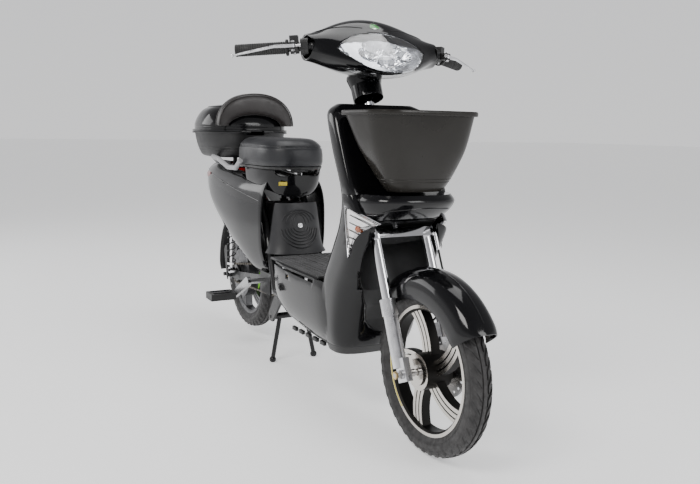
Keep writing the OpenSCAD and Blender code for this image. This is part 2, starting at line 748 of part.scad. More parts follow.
module brake_rotor() color([0.6, 0.6, 0.6]) difference() {
    across(front_x, front_z, rotor_r, rotor_y - rotor_wall / 2, rotor_y + rotor_wall / 2);
    across(front_x, front_z, 12, rotor_y - 9, rotor_y + 9);
    for (k = [0:17]) translate([front_x, rotor_y, front_z]) rotate([0, k * 20, 0])
        translate([rotor_r - 12, 0, 0]) rotate([90, 0, 0]) cylinder(h = 10, r = 4, center = true, $fn = 16);
}

// Route of the front brake hose along the left leg: forward of the steering axis, to the left, up.
// Its top end slides in the crown's guide tube.
hose_route = [[40, 97, 316], [40, 97, 304], [40, 97, 292], [40, 97, 280], [40, 97, 268], [40, 97, 256],
    [42, 97.5, 243], [44, 98, 229], [41, 99, 213], [33, 101, 195], [20, 102, 176], [4, 100, 157],
    [-11, 89, 140], [-20, 74, 127], [-22, 61, 118], [-22, 52, 112]];
hose_r = 3;

function knot(k) = hose_route[max(0, min(len(hose_route) - 1, k))];
function spline(k, t) = 0.5 * (2 * knot(k) + (knot(k + 1) - knot(k - 1)) * t
    + (2 * knot(k - 1) - 5 * knot(k) + 4 * knot(k + 1) - knot(k + 2)) * t * t
    + (3 * knot(k) - knot(k - 1) - 3 * knot(k + 1) + knot(k + 2)) * t * t * t);

// Tube of eight sides swept along the route
module brake_hose() color([0.03, 0.03, 0.03]) along_steering() {
    path = concat([for (k = [0:len(hose_route) - 2], j = [0:3]) spline(k, j / 4)], [knot(99)]);
    last = len(path) - 1;
    loft([for (i = [0:last]) let (d = unit(path[min(last, i + 1)] - path[max(0, i - 1)]),
        u = unit(cross(d, [1, 0, 0.2])), v = cross(d, u))
        [for (k = [0:7]) path[i] + hose_r * (u * cos(45 * k) + v * sin(45 * k))]]);
}

// ---------- handlebar ----------

module handlebar() color([0.06, 0.06, 0.065]) difference() {
    union() {
        across(bar_x, bar_z, bar_r, -bend_y, bend_y);
        mirrored() translate([bar_x, bend_y, bar_z]) sphere(bar_r * 1.12);
        for (s = [-1, 1]) bar_side(s) cylinder(h = bar_end - 6, r = bar_r);
        // Clamp on the steering tube and its forward arm
        along_steering() translate([0, 0, 812]) cylinder(h = 46, r = 22);
        rod([axis_x(965) + 12, 0, 968], [bar_x, 0, bar_z], 13);
    }
    along_steering() cylinder(h = 1000, r = head_bore + run_gap);
}

cowl_mid = [[250, 1000], [255, 1042], [272, 1078], [306, 1100], [345, 1092], [378, 1064],
    [412, 1034], [448, 1000], [478, 966], [470, 948], [430, 940], [385, 938], [340, 942], [300, 952],
    [270, 970], [256, 984]];

function cowl_ring(y, t, inset) = [for (k = [0:15]) let (p = cowl_mid[k], c = [350, 1012],
    q = c + unit(p - c) * 34, m = mix(p, q, t), v = m + unit(c - m) * inset) [v[0], y, v[1]]];

module cowl_form(inset) {
    ys = [-196, -170, -130, -90, -45, 0, 45, 90, 130, 170, 196];
    ts = [1, 0.86, 0.56, 0.28, 0.07, 0, 0.07, 0.28, 0.56, 0.86, 1];
    loft([for (k = [0:10]) cowl_ring(ys[k], ts[k], inset)]);
}

// Eye-shaped lamp outline in the sloping lamp plane
module lamp_prism(grow) {
    translate([425, 0, 1010]) rotate([0, 45, 0]) rotate([0, 0, 90])
        linear_extrude(height = 120, center = true) polygon(concat(
            [for (k = [0:12]) let (t = k / 12) [mix(-132 - grow, 132 + grow, t), 14 - (96 + grow) * pow(4 * t * (1 - t), 0.8)]],
            [for (k = [1:11]) let (t = k / 12) [mix(132 + grow, -132 - grow, t), 14 + (48 + grow) * pow(4 * t * (1 - t), 0.8)]]));
}

module head_cowl() color([0.03, 0.03, 0.035]) difference() {
    cowl_form(0);
    cowl_form(cover_wall);
    lamp_prism(0.6);
    for (s = [-1, 1]) across(bar_x - 6, 1012, 30, min(s * 185, s * 220), max(s * 185, s * 220));
    along_steering() cylinder(h = 840, r = 56);
    along_steering() cylinder(h = 870, r = 27);
    rod([axis_x(965) + 12, 0, 968], [bar_x, 0, bar_z], 13 + free_gap);
}

module headlight_lens() color([0.9, 0.93, 0.95, 0.35]) intersection() {
    difference() {
        cowl_form(0);
        cowl_form(3);
    }
    lamp_prism(0);
    translate([340, -200, 900]) cube([300, 400, 300]);
}

module headlight_housing() color([0.8, 0.8, 0.82]) intersection() {
    difference() {
        cowl_form(4);
        cowl_form(14);
    }
    lamp_prism(-1);
    translate([340, -200, 900]) cube([300, 400, 300]);
}

module neck_cover() color([0.03, 0.03, 0.035]) along_steering() rotate_extrude()
    polygon([[40, 752], [42, 752], [43, 790], [50, 818], [50, 822], [47, 822], [40.5, 792], [39.5, 752]]);

module left_grip() color([0.05, 0.05, 0.05]) bar_side(1) grip_form();
module throttle_grip() color([0.05, 0.05, 0.05]) bar_side(-1) grip_form();

module grip_form() translate([0, 0, bar_end - grip_len]) difference() {
    union() {
        cylinder(h = grip_len, r = grip_r);
        translate([0, 0, -7]) cylinder(h = 7, r = grip_r + 5);
    }
    translate([0, 0, -8]) cylinder(h = grip_len + 4, r = bar_r + run_gap);
}

module switch_housings() color([0.05, 0.05, 0.05]) for (s = [-1, 1]) bar_side(s) difference() {
    translate([0, 0, 22]) intersection() {
        cylinder(h = 20, r = 23, center = true);
        cube([42, 40, 40], center = true);
    }
    cylinder(h = 100, r = bar_r + run_gap);
    translate([-14, -10, 22]) rotate([0, 90, 0]) cylinder(h = 30, r = 5.3, center = true);
}

module horn_button() color([0.6, 0.5, 0.1]) bar_side(1) button_form();
module light_switch() color([0.3, 0.3, 0.3]) bar_side(-1) button_form();
module button_form() translate([-24, -10, 22]) rotate([0, 90, 0]) cylinder(h = 8, r = 5);

module lever_perches() color([0.08, 0.08, 0.085]) difference() {
    for (s = [-1, 1]) bar_side(s) {
        translate([0, 0, 48]) cylinder(h = 22, r = 17, center = true);
        translate([22, 0, 48]) cube([36, 18, 22], center = true);
        translate([8, -18, 48]) cube([24, 20, 22], center = true);
    }
    for (s = [-1, 1]) bar_side(s) {
        cylinder(h = 100, r = bar_r + run_gap);
        translate([34, 0, 50]) rotate([90, 0, 0]) cylinder(h = 40, r = 4 + run_gap, center = true);
        translate([38, 0, 52]) cube([26, 8.6, 30], center = true);
        translate([8, -12, 48]) rotate([90, 0, 0]) cylinder(h = 24, r = mirror_r);
    }
}

module lever_form() {
    knots = [[42, 0, 96], [50, 12, 170], [53, 17, 200]];
    hull() {
        translate([34, 0, 50]) rotate([90, 0, 0]) cylinder(h = 8, r = 7, center = true, $fn = 24);
        translate(knots[0]) sphere(4, $fn = 14);
    }
    for (k = [0:1]) hull() {
        translate(knots[k]) sphere(4 - k, $fn = 14);
        translate(knots[k + 1]) sphere(3.5 - k, $fn = 14);
    }
    translate([53, 17, 203]) sphere(5);
    translate([34, 0, 50]) rotate([90, 0, 0]) cylinder(h = 20, r = 4, center = true);
}

module right_lever() color([0.75, 0.75, 0.76]) bar_side(-1) lever_form();
module left_lever() color([0.6, 0.6, 0.62]) bar_side(1) lever_form();

module key_barrel() color([0.7, 0.7, 0.7]) translate([302, -58, 800]) rotate([0, -90, 0]) {
    cylinder(h = 14, r = 9, center = true);
    translate([0, 0, 14]) cube([10, 2.4, 16], center = true);
}

// ---------- rear ----------

module swing_arm() color([0.1, 0.1, 0.11]) difference() {
    union() {
        for (s = [-1, 1]) {
            across(crank_x, crank_z, 24, min(s * 78, s * 90), max(s * 78, s * 90));
            hull() {
                across(crank_x - 24, crank_z, 14, min(s * 78, s * 90), max(s * 78, s * 90));
                across(rear_x + 60, rear_z + 3, 16, min(s * 78, s * 90), max(s * 78, s * 90));
            }
            across(rear_x, rear_z, 22, min(s * 78, s * 90), max(s * 78, s * 90));
            hull() {
                across(rear_x + 60, rear_z + 3, 14, min(s * 78, s * 90), max(s * 78, s * 90));
                across(rear_x, rear_z, 12, min(s * 78, s * 90), max(s * 78, s * 90));
            }
            across(shock_x, shock_low_z, 5, min(s * 84, s * 121), max(s * 84, s * 121));
        }
        across(rear_x + 268, rear_z + 26, 12, -80, 80);
        across(rear_x, rear_z, 7, -118, 118);
        for (s = [-1, 1]) across(rear_x, rear_z, 13, min(s * 90, s * 104), max(s * 90, s * 104));
    }
    across(crank_x, crank_z, 15 + run_gap, -200, 200);
}

module hub_motor() color([0.2, 0.2, 0.21]) difference() {
    union() {
        rim_ring(rear_x, rear_z);
        translate([rear_x, 0, rear_z]) rotate([90, 0, 0]) {
            for (k = [0:spokes - 1]) rotate([0, 0, k * 360 / spokes]) spoke(88, rim_r - 9, 30);
            translate([0, 0, -46]) cylinder(h = 92, r = motor_r);
            translate([0, 0, 46]) cylinder(h = 12, r = 40);
            translate([0, 0, chain_y - 2.5]) cylinder(h = 5, r = freewheel_r);
            translate([0, 0, 46]) cylinder(h = 22, r = 20);
        }
    }
    across(rear_x, rear_z, 7 + run_gap, -80, 80);
}

module drive_chain() color([0.3, 0.28, 0.25]) {
    difference() {
        chain_band(chain_height, -chain_y - chain_w / 2, -chain_y + chain_w / 2);
        chain_band(0.4, -chain_y - chain_w, -chain_y + chain_w);
    }
}

chain_y = 64.5;
chain_w = 7;
chain_height = 8;

module chain_band(grow, y0, y1) hull() {
    across(crank_x, crank_z, chainring_r + grow, y0, y1);
    across(rear_x, rear_z, freewheel_r + grow, y0, y1);
}

module chain_guard() color([0.08, 0.08, 0.09]) difference() {
    hull() {
        across(rear_x + 30, rear_z + 92, 26, -116, -112);
        across(rear_x + 60, rear_z + 10, 34, -116, -112);
        across(rear_x + 160, rear_z + 14, 20, -116, -112);
    }
    translate([shock_x - 26, -130, rear_z - 60]) cube([200, 40, 240]);
}

module crank_set() color([0.75, 0.75, 0.76]) {
    across(crank_x, crank_z, 8.5, -crank_y - 12, crank_y + 12);
    across(crank_x, crank_z, chainring_r, -chain_y - 2, -chain_y + 2);
    across(crank_x, crank_z, 16, -74, -61);
    crank_arm(-1);
    crank_arm(1);
}

crank_angle = 208;
function crank_end(side) = [crank_x + side * -crank_len * cos(crank_angle), side * crank_y,
    crank_z + side * -crank_len * sin(crank_angle)];

module crank_arm(side) {
    e = crank_end(side);
    difference() {
        hull() {
            across(crank_x, crank_z, 16, min(side * crank_y, side * (crank_y + 12)), max(side * crank_y, side * (crank_y + 12)));
            across(e[0], e[2], 12, min(side * crank_y, side * (crank_y + 12)), max(side * crank_y, side * (crank_y + 12)));
        }
        across(e[0], e[2], 6 + run_gap, -200, 200);
    }
}

module pedal(side) {
    e = crank_end(side);
    y0 = side * (crank_y + 14);
    y1 = side * (crank_y + 104);
    across(e[0], e[2], 6, min(side * (crank_y - 1), y1), max(side * (crank_y - 1), y1));
    difference() {
        translate([e[0] - 33, min(y0, y1), e[2] - 12]) cube([66, 90, 24]);
        for (s = [-1, 1]) translate([e[0] + s * 19, (y0 + y1) / 2, e[2]]) cube([16, 66, 40], center = true);
    }
}

module right_pedal() color([0.04, 0.04, 0.04]) pedal(-1);
module left_pedal() color([0.04, 0.04, 0.04]) pedal(1);

module shock_bodies() color([0.15, 0.15, 0.16]) mirrored() difference() {
    union() {
        across(shock_x, shock_top_z, 13, shock_y - 12, shock_y + 12);
        translate([shock_x, shock_y, shock_top_z - 150]) cylinder(h = 142, r = 11);
        translate([shock_x, shock_y, shock_top_z - 34]) cylinder(h = 8, r = 17);
    }
    across(shock_x, shock_top_z, 5 + run_gap, 0, 200);
    translate([shock_x, shock_y, shock_top_z - 151]) cylinder(h = 110, r = 6 + run_gap);
}

module shock_rods() color([0.7, 0.7, 0.72]) mirrored() difference() {
    union() {
        across(shock_x, shock_low_z, 12, shock_y - 10, shock_y + 10);
        translate([shock_x, shock_y, shock_low_z + 8]) cylinder(h = 190, r = 6);
        translate([shock_x, shock_y, shock_low_z + 22]) cylinder(h = 8, r = 17);
    }
    across(shock_x, shock_low_z, 5 + 1.5, 0, 200);
}

module shock_springs() color([0.7, 0.1, 0.1]) mirrored() difference() {
    translate([shock_x, shock_y, shock_low_z + 30.2]) cylinder(h = shock_top_z - 34.4 - shock_low_z - 30, r = 16.5);
    translate([shock_x, shock_y, 0]) cylinder(h = 900, r = 12);
}

module centre_stand() color([0.05, 0.05, 0.055]) {
    across(stand_x, stand_z, 5, -86, 86);
    across(stand_x, stand_z, 11, -75, 75);
    for (s = [-1, 1]) {
        rod([stand_x, s * 48, stand_z], [stand_foot_x, s * stand_foot_y, 12], 7.5);
        translate([stand_foot_x, s * stand_foot_y, 0]) intersection() {
            translate([0, 0, 9]) sphere(12);
            translate([-20, -20, 0]) cube([40, 40, 40]);
        }
    }
}

main_frame();
battery_box();
leg_shield();
front_panel();
inner_fender();
basket();
front_signal_housings();
front_signal_lenses();
right_side_cover();
left_side_cover();
belly_tray();
footboard();
floor_mat();
column_cover();
under_seat_cover();
right_rear_cover();
left_rear_cover();
tail_lamp();
rear_fender();
grab_rail();
trunk_tub();
chain_guard();
drive_chain();
fork_upper();
handlebar();
head_cowl();
headlight_housing();
headlight_lens();
neck_cover();
left_grip();
switch_housings();
lever_perches();
throttle_grip();
right_lever();
left_lever();
horn_button();
light_switch();
key_barrel();
fork_legs();
front_axle();
front_fender();
brake_caliper();
brake_hose();
front_tyre();
front_rim();
brake_rotor();
swing_arm();
rear_tyre();
hub_motor();
shock_bodies();
shock_rods();
shock_springs();
crank_set();
right_pedal();
left_pedal();
centre_stand();
seat_cushion();
seat_base();
trunk_lid();
backrest_pad();
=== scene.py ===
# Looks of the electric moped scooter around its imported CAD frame. Lengths in the shape tables are
# millimetres, as in the CAD source, and become metres when a mesh is made.
import json
import math

import bmesh
import bpy
import numpy as np
from mathutils import Matrix, Vector, noise


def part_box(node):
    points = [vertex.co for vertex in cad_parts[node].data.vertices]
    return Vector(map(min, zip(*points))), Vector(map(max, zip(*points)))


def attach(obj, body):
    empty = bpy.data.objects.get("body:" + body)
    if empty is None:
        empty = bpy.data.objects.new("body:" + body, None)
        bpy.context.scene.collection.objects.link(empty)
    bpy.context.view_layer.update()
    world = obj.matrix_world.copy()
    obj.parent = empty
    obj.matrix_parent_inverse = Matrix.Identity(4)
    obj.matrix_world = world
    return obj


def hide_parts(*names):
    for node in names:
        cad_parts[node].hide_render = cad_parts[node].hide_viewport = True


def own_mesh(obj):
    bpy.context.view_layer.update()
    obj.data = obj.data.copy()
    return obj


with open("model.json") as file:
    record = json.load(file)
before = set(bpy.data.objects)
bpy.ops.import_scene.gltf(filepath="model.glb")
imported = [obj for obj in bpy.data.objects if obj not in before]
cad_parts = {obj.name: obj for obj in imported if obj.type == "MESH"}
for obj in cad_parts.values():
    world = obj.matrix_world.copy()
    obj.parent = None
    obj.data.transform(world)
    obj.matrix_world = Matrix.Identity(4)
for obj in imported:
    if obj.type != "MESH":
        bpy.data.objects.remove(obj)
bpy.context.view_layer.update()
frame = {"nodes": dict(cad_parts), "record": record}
nodes = frame["nodes"]
scene = bpy.context.scene

MM = 0.001
FLOOR_Z, COVER_WALL = 386, 3.5
RAKE = math.radians(24)
FRONT_X, FRONT_Z, REAR_X, REAR_Z = 685, 215, -568, 242
STEER_X = FRONT_X - 42 * math.cos(RAKE)
STEER_Z = FRONT_Z - 42 * math.sin(RAKE)
TYRE_R, RIM_R = 215, 163
CRANK_X, CRANK_Z = -203, 283


# ---------------------------------------------------------------- camera
def make_camera():
    cam = bpy.data.objects.new("camera", bpy.data.cameras.new("camera"))
    scene.collection.objects.link(cam)
    scene.camera = cam
    cam.data.lens, cam.data.sensor_width = 38.13, 36
    yaw, pitch, roll = math.radians(28.2), math.radians(8.6), math.radians(0.9)
    look = Vector((-math.cos(yaw) * math.cos(pitch), math.sin(yaw) * math.cos(pitch), -math.sin(pitch)))
    right = look.cross(Vector((0, 0, 1))).normalized()
    up = right.cross(look)
    right, up = (right * math.cos(roll) + up * math.sin(roll), up * math.cos(roll) - right * math.sin(roll))
    rotation = Matrix((right, up, -look)).transposed()
    cam.matrix_world = Matrix.Translation((2.1534, -1.0231, 0.8018)) @ rotation.to_4x4()


make_camera()


# ---------------------------------------------------------------- materials
class Mat:
    """A node material with one Principled shader and small builders for procedural detail."""

    def __init__(self, name, color, rough, metal=0.0, **sockets):
        self.m = bpy.data.materials.new(name)
        self.m.use_nodes = True
        self.t = self.m.node_tree
        self.b = self.t.nodes["Principled BSDF"]
        self.coord = self.t.nodes.new("ShaderNodeTexCoord").outputs["Object"]
        self.color = (*color, 1)
        self.rough = rough
        self.set("Base Color", self.color)
        self.set("Roughness", rough)
        self.set("Metallic", metal)
        for key, value in sockets.items():
            self.set(key.replace("_", " "), value)
        self.height = []

    def set(self, socket, value):
        self.b.inputs[socket].default_value = value

    def node(self, kind, **inputs):
        n = self.t.nodes.new("ShaderNode" + kind)
        for key, value in inputs.items():
            n.inputs[key.replace("_", " ")].default_value = value
        return n

    def link(self, a, b):
        self.t.links.new(a, b)

    def noise(self, scale, detail=4.0, rough=0.55, stretch=(1, 1, 1)):
        mapping = self.node("Mapping", Scale=stretch)
        self.link(self.coord, mapping.inputs["Vector"])
        n = self.node("TexNoise", Scale=scale, Detail=detail, Roughness=rough)
        self.link(mapping.outputs[0], n.inputs["Vector"])
        return n.outputs["Fac"]

    def voronoi(self, scale, feature="F1", out="Distance"):
        n = self.node("TexVoronoi", Scale=scale)
        n.feature = feature
        self.link(self.coord, n.inputs["Vector"])
        return n.outputs[out]

    def ramp(self, source, stops):
        n = self.t.nodes.new("ShaderNodeValToRGB")
        ramp = n.color_ramp
        while len(ramp.elements) < len(stops):
            ramp.elements.new(0.5)
        for element, (at, color) in zip(ramp.elements, stops):
            element.position = at
            element.color = color if len(color) == 4 else (*color, 1)
        self.link(source, n.inputs["Fac"])
        return n.outputs["Color"]

    def vary_color(self, source, low, high, start=0.3, end=0.7):
        a = [c * low for c in self.color[:3]]
        b = [min(1, c * high) for c in self.color[:3]]
        self.link(self.ramp(source, [(start, a), (end, b)]), self.b.inputs["Base Color"])

    def vary_rough(self, source, low, high, start=0.35, end=0.65):
        n = self.node("MapRange", From_Min=start, From_Max=end, To_Min=low, To_Max=high)
        self.link(source, n.inputs["Value"])
        self.link(n.outputs["Result"], self.b.inputs["Roughness"])

    def bump(self, source, distance, strength=1.0):
        n = self.node("Bump", Strength=strength, Distance=distance)
        self.link(source, n.inputs["Height"])
        if self.height:
            self.link(self.height[-1].outputs["Normal"], n.inputs["Normal"])
        self.link(n.outputs["Normal"], self.b.inputs["Normal"])
        self.height.append(n)
        return self


def gloss(name, color, rough=0.09, peel=0.00006, coat=0.6):
    m = Mat(name, color, rough, Coat_Weight=coat, Coat_Roughness=0.04, Specular_IOR_Level=0.22)
    m.vary_rough(m.noise(9, 6), rough * 0.7, rough * 2.0)
    m.vary_color(m.noise(4, 3), 0.85, 1.2)
    m.bump(m.noise(260, 2), peel)
    return m


def grained(name, color, rough, scale, depth, low=0.8, high=1.25):
    m = Mat(name, color, rough)
    m.vary_color(m.noise(14, 5), low, high)
    m.vary_rough(m.noise(30, 5), rough * 0.88, min(1, rough * 1.12))
    m.bump(m.noise(scale, 3, 0.6), depth)
    m.bump(m.voronoi(scale * 0.6), depth * 0.6)
    return m


def metal(name, color, rough, brushed=(1, 1, 1), depth=0.00002, low=0.85, high=1.1):
    m = Mat(name, color, rough, 1.0)
    m.vary_color(m.noise(20, 5), low, high)
    m.vary_rough(m.noise(60, 4, stretch=brushed), rough * 0.75, rough * 1.35)
    m.bump(m.noise(700, 2, stretch=brushed), depth)
    return m


def vinyl(name, color, sheen=0.15):
    m = Mat(name, color, 0.42, Sheen_Weight=sheen, Sheen_Roughness=0.4, Coat_Weight=0.12, Coat_Roughness=0.3)
    m.vary_color(m.noise(7, 6), 0.8, 1.35)
    m.vary_rough(m.noise(16, 6), 0.34, 0.5)
    m.bump(m.voronoi(420, "DISTANCE_TO_EDGE"), 0.00012)
    m.bump(m.noise(160, 4), 0.00016)
    return m


def glass(name, color, alpha_weight, rough=0.02):
    m = Mat(name, color, rough, Transmission_Weight=alpha_weight, IOR=1.49, Coat_Weight=0.4, Coat_Roughness=0.02)
    m.vary_rough(m.noise(12, 4), rough, rough * 3)
    m.bump(m.noise(90, 2), 0.00003)
    return m


def rubber(name, color, rough=0.62):
    m = Mat(name, color, rough)
    m.vary_color(m.noise(18, 6), 0.7, 1.5)
    m.vary_rough(m.noise(45, 5), rough * 0.85, min(1.0, rough * 1.2))
    m.bump(m.noise(380, 4), 0.00008)
    return m


def tyre_material():
    m = Mat("tyre_rubber", (0.021, 0.02, 0.02), 0.55)
    m.vary_color(m.noise(40, 8), 0.55, 1.9)
    m.vary_rough(m.noise(90, 5), 0.42, 0.72)
    m.bump(m.noise(420, 5), 0.0001)
    m.bump(m.noise(60, 3), 0.00012)
    return m


def wheel_material(name, dark, bright):
    """Dark cast alloy whose outward faces are machined bright with fine turning lines."""
    m = Mat(name, bright, 0.24, 1.0)
    coord = m.t.nodes.new("ShaderNodeTexCoord")
    split = m.t.nodes.new("ShaderNodeSeparateXYZ")
    m.link(coord.outputs["Normal"], split.inputs[0])
    side = m.t.nodes.new("ShaderNodeMath")
    side.operation = "ABSOLUTE"
    m.link(split.outputs["Y"], side.inputs[0])
    face = m.ramp(side.outputs[0], [(0.86, (*dark, 1)), (0.93, (*bright, 1))])
    m.link(face, m.b.inputs["Base Color"])
    rough = m.node("MapRange", From_Min=0.8, From_Max=0.95, To_Min=0.5, To_Max=0.2)
    m.link(side.outputs[0], rough.inputs["Value"])
    m.link(rough.outputs["Result"], m.b.inputs["Roughness"])
    m.bump(m.noise(500, 3), 0.00003)
    return m


def spring_paint():
    m = gloss("spring_paint", (0.012, 0.012, 0.013), 0.2, 0.00003, 0.2)
    return m


MATERIALS = {
    "gloss_black": gloss("gloss_black", (0.0035, 0.0035, 0.0042), coat=0.32),
    "trim_black": grained("trim_black", (0.009, 0.009, 0.0095), 0.42, 900, 0.00008),
    "basket_plastic": gloss("basket_plastic", (0.017, 0.0155, 0.0135), 0.24, 0.00008, 0.12),
    "column_grey": grained("column_grey", (0.02, 0.02, 0.022), 0.46, 1100, 0.0001),
    "mat_rubber": rubber("mat_rubber", (0.07, 0.07, 0.072), 0.6),
    "frame_paint": gloss("frame_paint", (0.011, 0.011, 0.012), 0.24, 0.00006, 0.3),
    "seat_vinyl": vinyl("seat_vinyl", (0.007, 0.0075, 0.01), 0.05),
    "backrest_vinyl": vinyl("backrest_vinyl", (0.018, 0.015, 0.0145), 0.08),
    "rail_grey": gloss("rail_grey", (0.33, 0.33, 0.34), 0.3, 0.00004, 0.2),
    "alloy": metal("alloy", (0.74, 0.74, 0.76), 0.3, (1, 1, 0.1)),
    "chrome": metal("chrome", (0.86, 0.86, 0.88), 0.06, depth=0.000004, low=0.95, high=1.03),
    "steel": metal("steel", (0.52, 0.52, 0.53), 0.28, (0.2, 1, 0.2)),
    "wheel_alloy": wheel_material("wheel_alloy", (0.022, 0.021, 0.02), (0.62, 0.59, 0.55)),
    "motor_alloy": metal("motor_alloy", (0.16, 0.16, 0.165), 0.42),
    "tyre_rubber": tyre_material(),
    "grip_rubber": rubber("grip_rubber", (0.014, 0.014, 0.014), 0.6),
    "clear_lens": glass("clear_lens", (0.97, 0.98, 1.0), 1.0),
    "signal_lens": glass("signal_lens", (0.98, 0.96, 0.94), 0.97, 0.04),
    "reflector": metal("reflector", (0.9, 0.91, 0.93), 0.1, depth=0.00001, low=0.92, high=1.04),
    "red_lens": glass("red_lens", (0.5, 0.008, 0.006), 0.55, 0.06),
    "hose_rubber": rubber("hose_rubber", (0.011, 0.011, 0.011), 0.45),
    "horn_yellow": gloss("horn_yellow", (0.55, 0.36, 0.03), 0.3),
    "switch_grey": grained("switch_grey", (0.2, 0.2, 0.2), 0.5, 900, 0.00006),
    "chain_steel": metal("chain_steel", (0.13, 0.115, 0.095), 0.45),
    "spring_steel": spring_paint(),
}
EXTRA = {
    "amber": glass("amber_bulb", (0.9, 0.2, 0.02), 0.5, 0.15),
    "yellow": gloss("yellow_stripe", (0.75, 0.6, 0.02), 0.25),
    "green": gloss("green_stripe", (0.25, 0.72, 0.03), 0.3),
    "badge": metal("badge_metal", (0.62, 0.68, 0.6), 0.16),
    "badge_green": gloss("badge_green", (0.05, 0.3, 0.06), 0.18),
    "sticker": grained("sticker_yellow", (0.62, 0.48, 0.04), 0.4, 700, 0.00003),
    "brass": metal("brass_nut", (0.62, 0.47, 0.25), 0.25),
}
for entry in frame["record"]["subparts"]:
    material = MATERIALS[entry["material_slot"]].m
    mesh = nodes[entry["node"]].data
    for index in range(max(1, len(mesh.materials))):
        if index < len(mesh.materials):
            mesh.materials[index] = material
        else:
            mesh.materials.append(material)


# ---------------------------------------------------------------- mesh helpers
def make_object(name, verts, faces):
    mesh = bpy.data.meshes.new(name)
    mesh.from_pydata([tuple(np.asarray(v) * MM) for v in verts], [], faces)
    mesh.update()
    obj = bpy.data.objects.new(name, mesh)
    scene.collection.objects.link(obj)
    return obj


def bend(c, e):
    return np.sign(c) * np.abs(c) ** (2 / e)


def level_ring(z, x0, x1, ry, e=2.6, bow=0, n=96):
    t = np.linspace(0, 2 * math.pi, n, endpoint=False)
    v = bend(np.sin(t), e)
    return np.stack([(x0 + x1) / 2 + (x1 - x0) / 2 * bend(np.cos(t), e) + bow * v * v, ry * v,
                     np.full(n, float(z))], 1)


def cross_ring(x, z0, z1, ry, e=2.6, n=96):
    t = np.linspace(0, 2 * math.pi, n, endpoint=False)
    return np.stack([np.full(n, float(x)), ry * bend(np.cos(t), e),
                     (z0 + z1) / 2 + (z1 - z0) / 2 * bend(np.sin(t), e)], 1)


def smooth_rows(rows, steps=6, closed=False):
    """Catmull-Rom rows between the given ones."""
    p = np.array(rows, float)
    count = len(p)
    out = []
    for k in range(count if closed else count - 1):
        at = lambda i: p[i % count] if closed else p[min(max(i, 0), count - 1)]
        a, b, c, d = at(k - 1), at(k), at(k + 1), at(k + 2)
        for j in range(steps):
            t = j / steps
            out.append(0.5 * (2 * b + (c - a) * t + (2 * a - 5 * b + 4 * c - d) * t * t
                              + (3 * b - a - 3 * c + d) * t ** 3))
    if not closed:
        out.append(p[-1])
    return np.array(out)


def loft(name, rings, caps=True, closed=False):
    n, m = len(rings[0]), len(rings)
    verts = np.concatenate(rings)
    faces = []
    for k in range(m if closed else m - 1):
        for i in range(n):
            a, b = k * n + i, k * n + (i + 1) % n
            c, d = ((k + 1) % m) * n + (i + 1) % n, ((k + 1) % m) * n + i
            faces.append((a, b, c, d))
    if caps and not closed:
        faces.append(tuple(range(n))[::-1])
        faces.append(tuple((m - 1) * n + i for i in range(n)))
    obj = make_object(name, verts, faces)
    fix_normals(obj)
    return obj


def grid(name, points, thickness=None):
    """A sheet from a rows-by-columns array of points."""
    rows, cols = points.shape[:2]
    faces = [(r * cols + c, r * cols + c + 1, (r + 1) * cols + c + 1, (r + 1) * cols + c)
             for r in range(rows - 1) for c in range(cols - 1)]
    obj = make_object(name, points.reshape(-1, 3), faces)
    if thickness:
        solidify(obj, thickness)
    return obj


def fix_normals(obj):
    bm = bmesh.new()
    bm.from_mesh(obj.data)
    bmesh.ops.recalc_face_normals(bm, faces=bm.faces)
    bm.to_mesh(obj.data)
    bm.free()


def apply_modifiers(obj):
    dg = bpy.context.evaluated_depsgraph_get()
    mesh = bpy.data.meshes.new_from_object(obj.evaluated_get(dg))
    old = obj.data
    obj.modifiers.clear()
    obj.data = mesh
    bpy.data.meshes.remove(old)


def boolean(obj, cutter, operation="DIFFERENCE", keep=False):
    mod = obj.modifiers.new("cut", "BOOLEAN")
    mod.operation, mod.object, mod.solver = operation, cutter, "MANIFOLD"
    apply_modifiers(obj)
    if not keep:
        bpy.data.objects.remove(cutter)
    return obj


def solidify(obj, thickness, offset=-1):
    mod = obj.modifiers.new("wall", "SOLIDIFY")
    mod.thickness, mod.offset = thickness * MM, offset
    apply_modifiers(obj)
    return obj


def bevel(obj, width, segments=2, angle=40):
    mod = obj.modifiers.new("bevel", "BEVEL")
    mod.width, mod.segments, mod.limit_method = width * MM, segments, "ANGLE"
    mod.angle_limit = math.radians(angle)
    mod.harden_normals = False
    apply_modifiers(obj)
    return obj


def subdivide(obj, levels=1):
    mod = obj.modifiers.new("sub", "SUBSURF")
    mod.levels = mod.render_levels = levels
    apply_modifiers(obj)
    return obj


def box_object(low, high, name="box"):
    x0, y0, z0 = low
    x1, y1, z1 = high
    verts = [(x, y, z) for x in (x0, x1) for y in (y0, y1) for z in (z0, z1)]
    return make_object(name, verts, [(0, 1, 3, 2), (4, 6, 7, 5), (0, 4, 5, 1), (2, 3, 7, 6), (0, 2, 6, 4),
                                     (1, 5, 7, 3)])


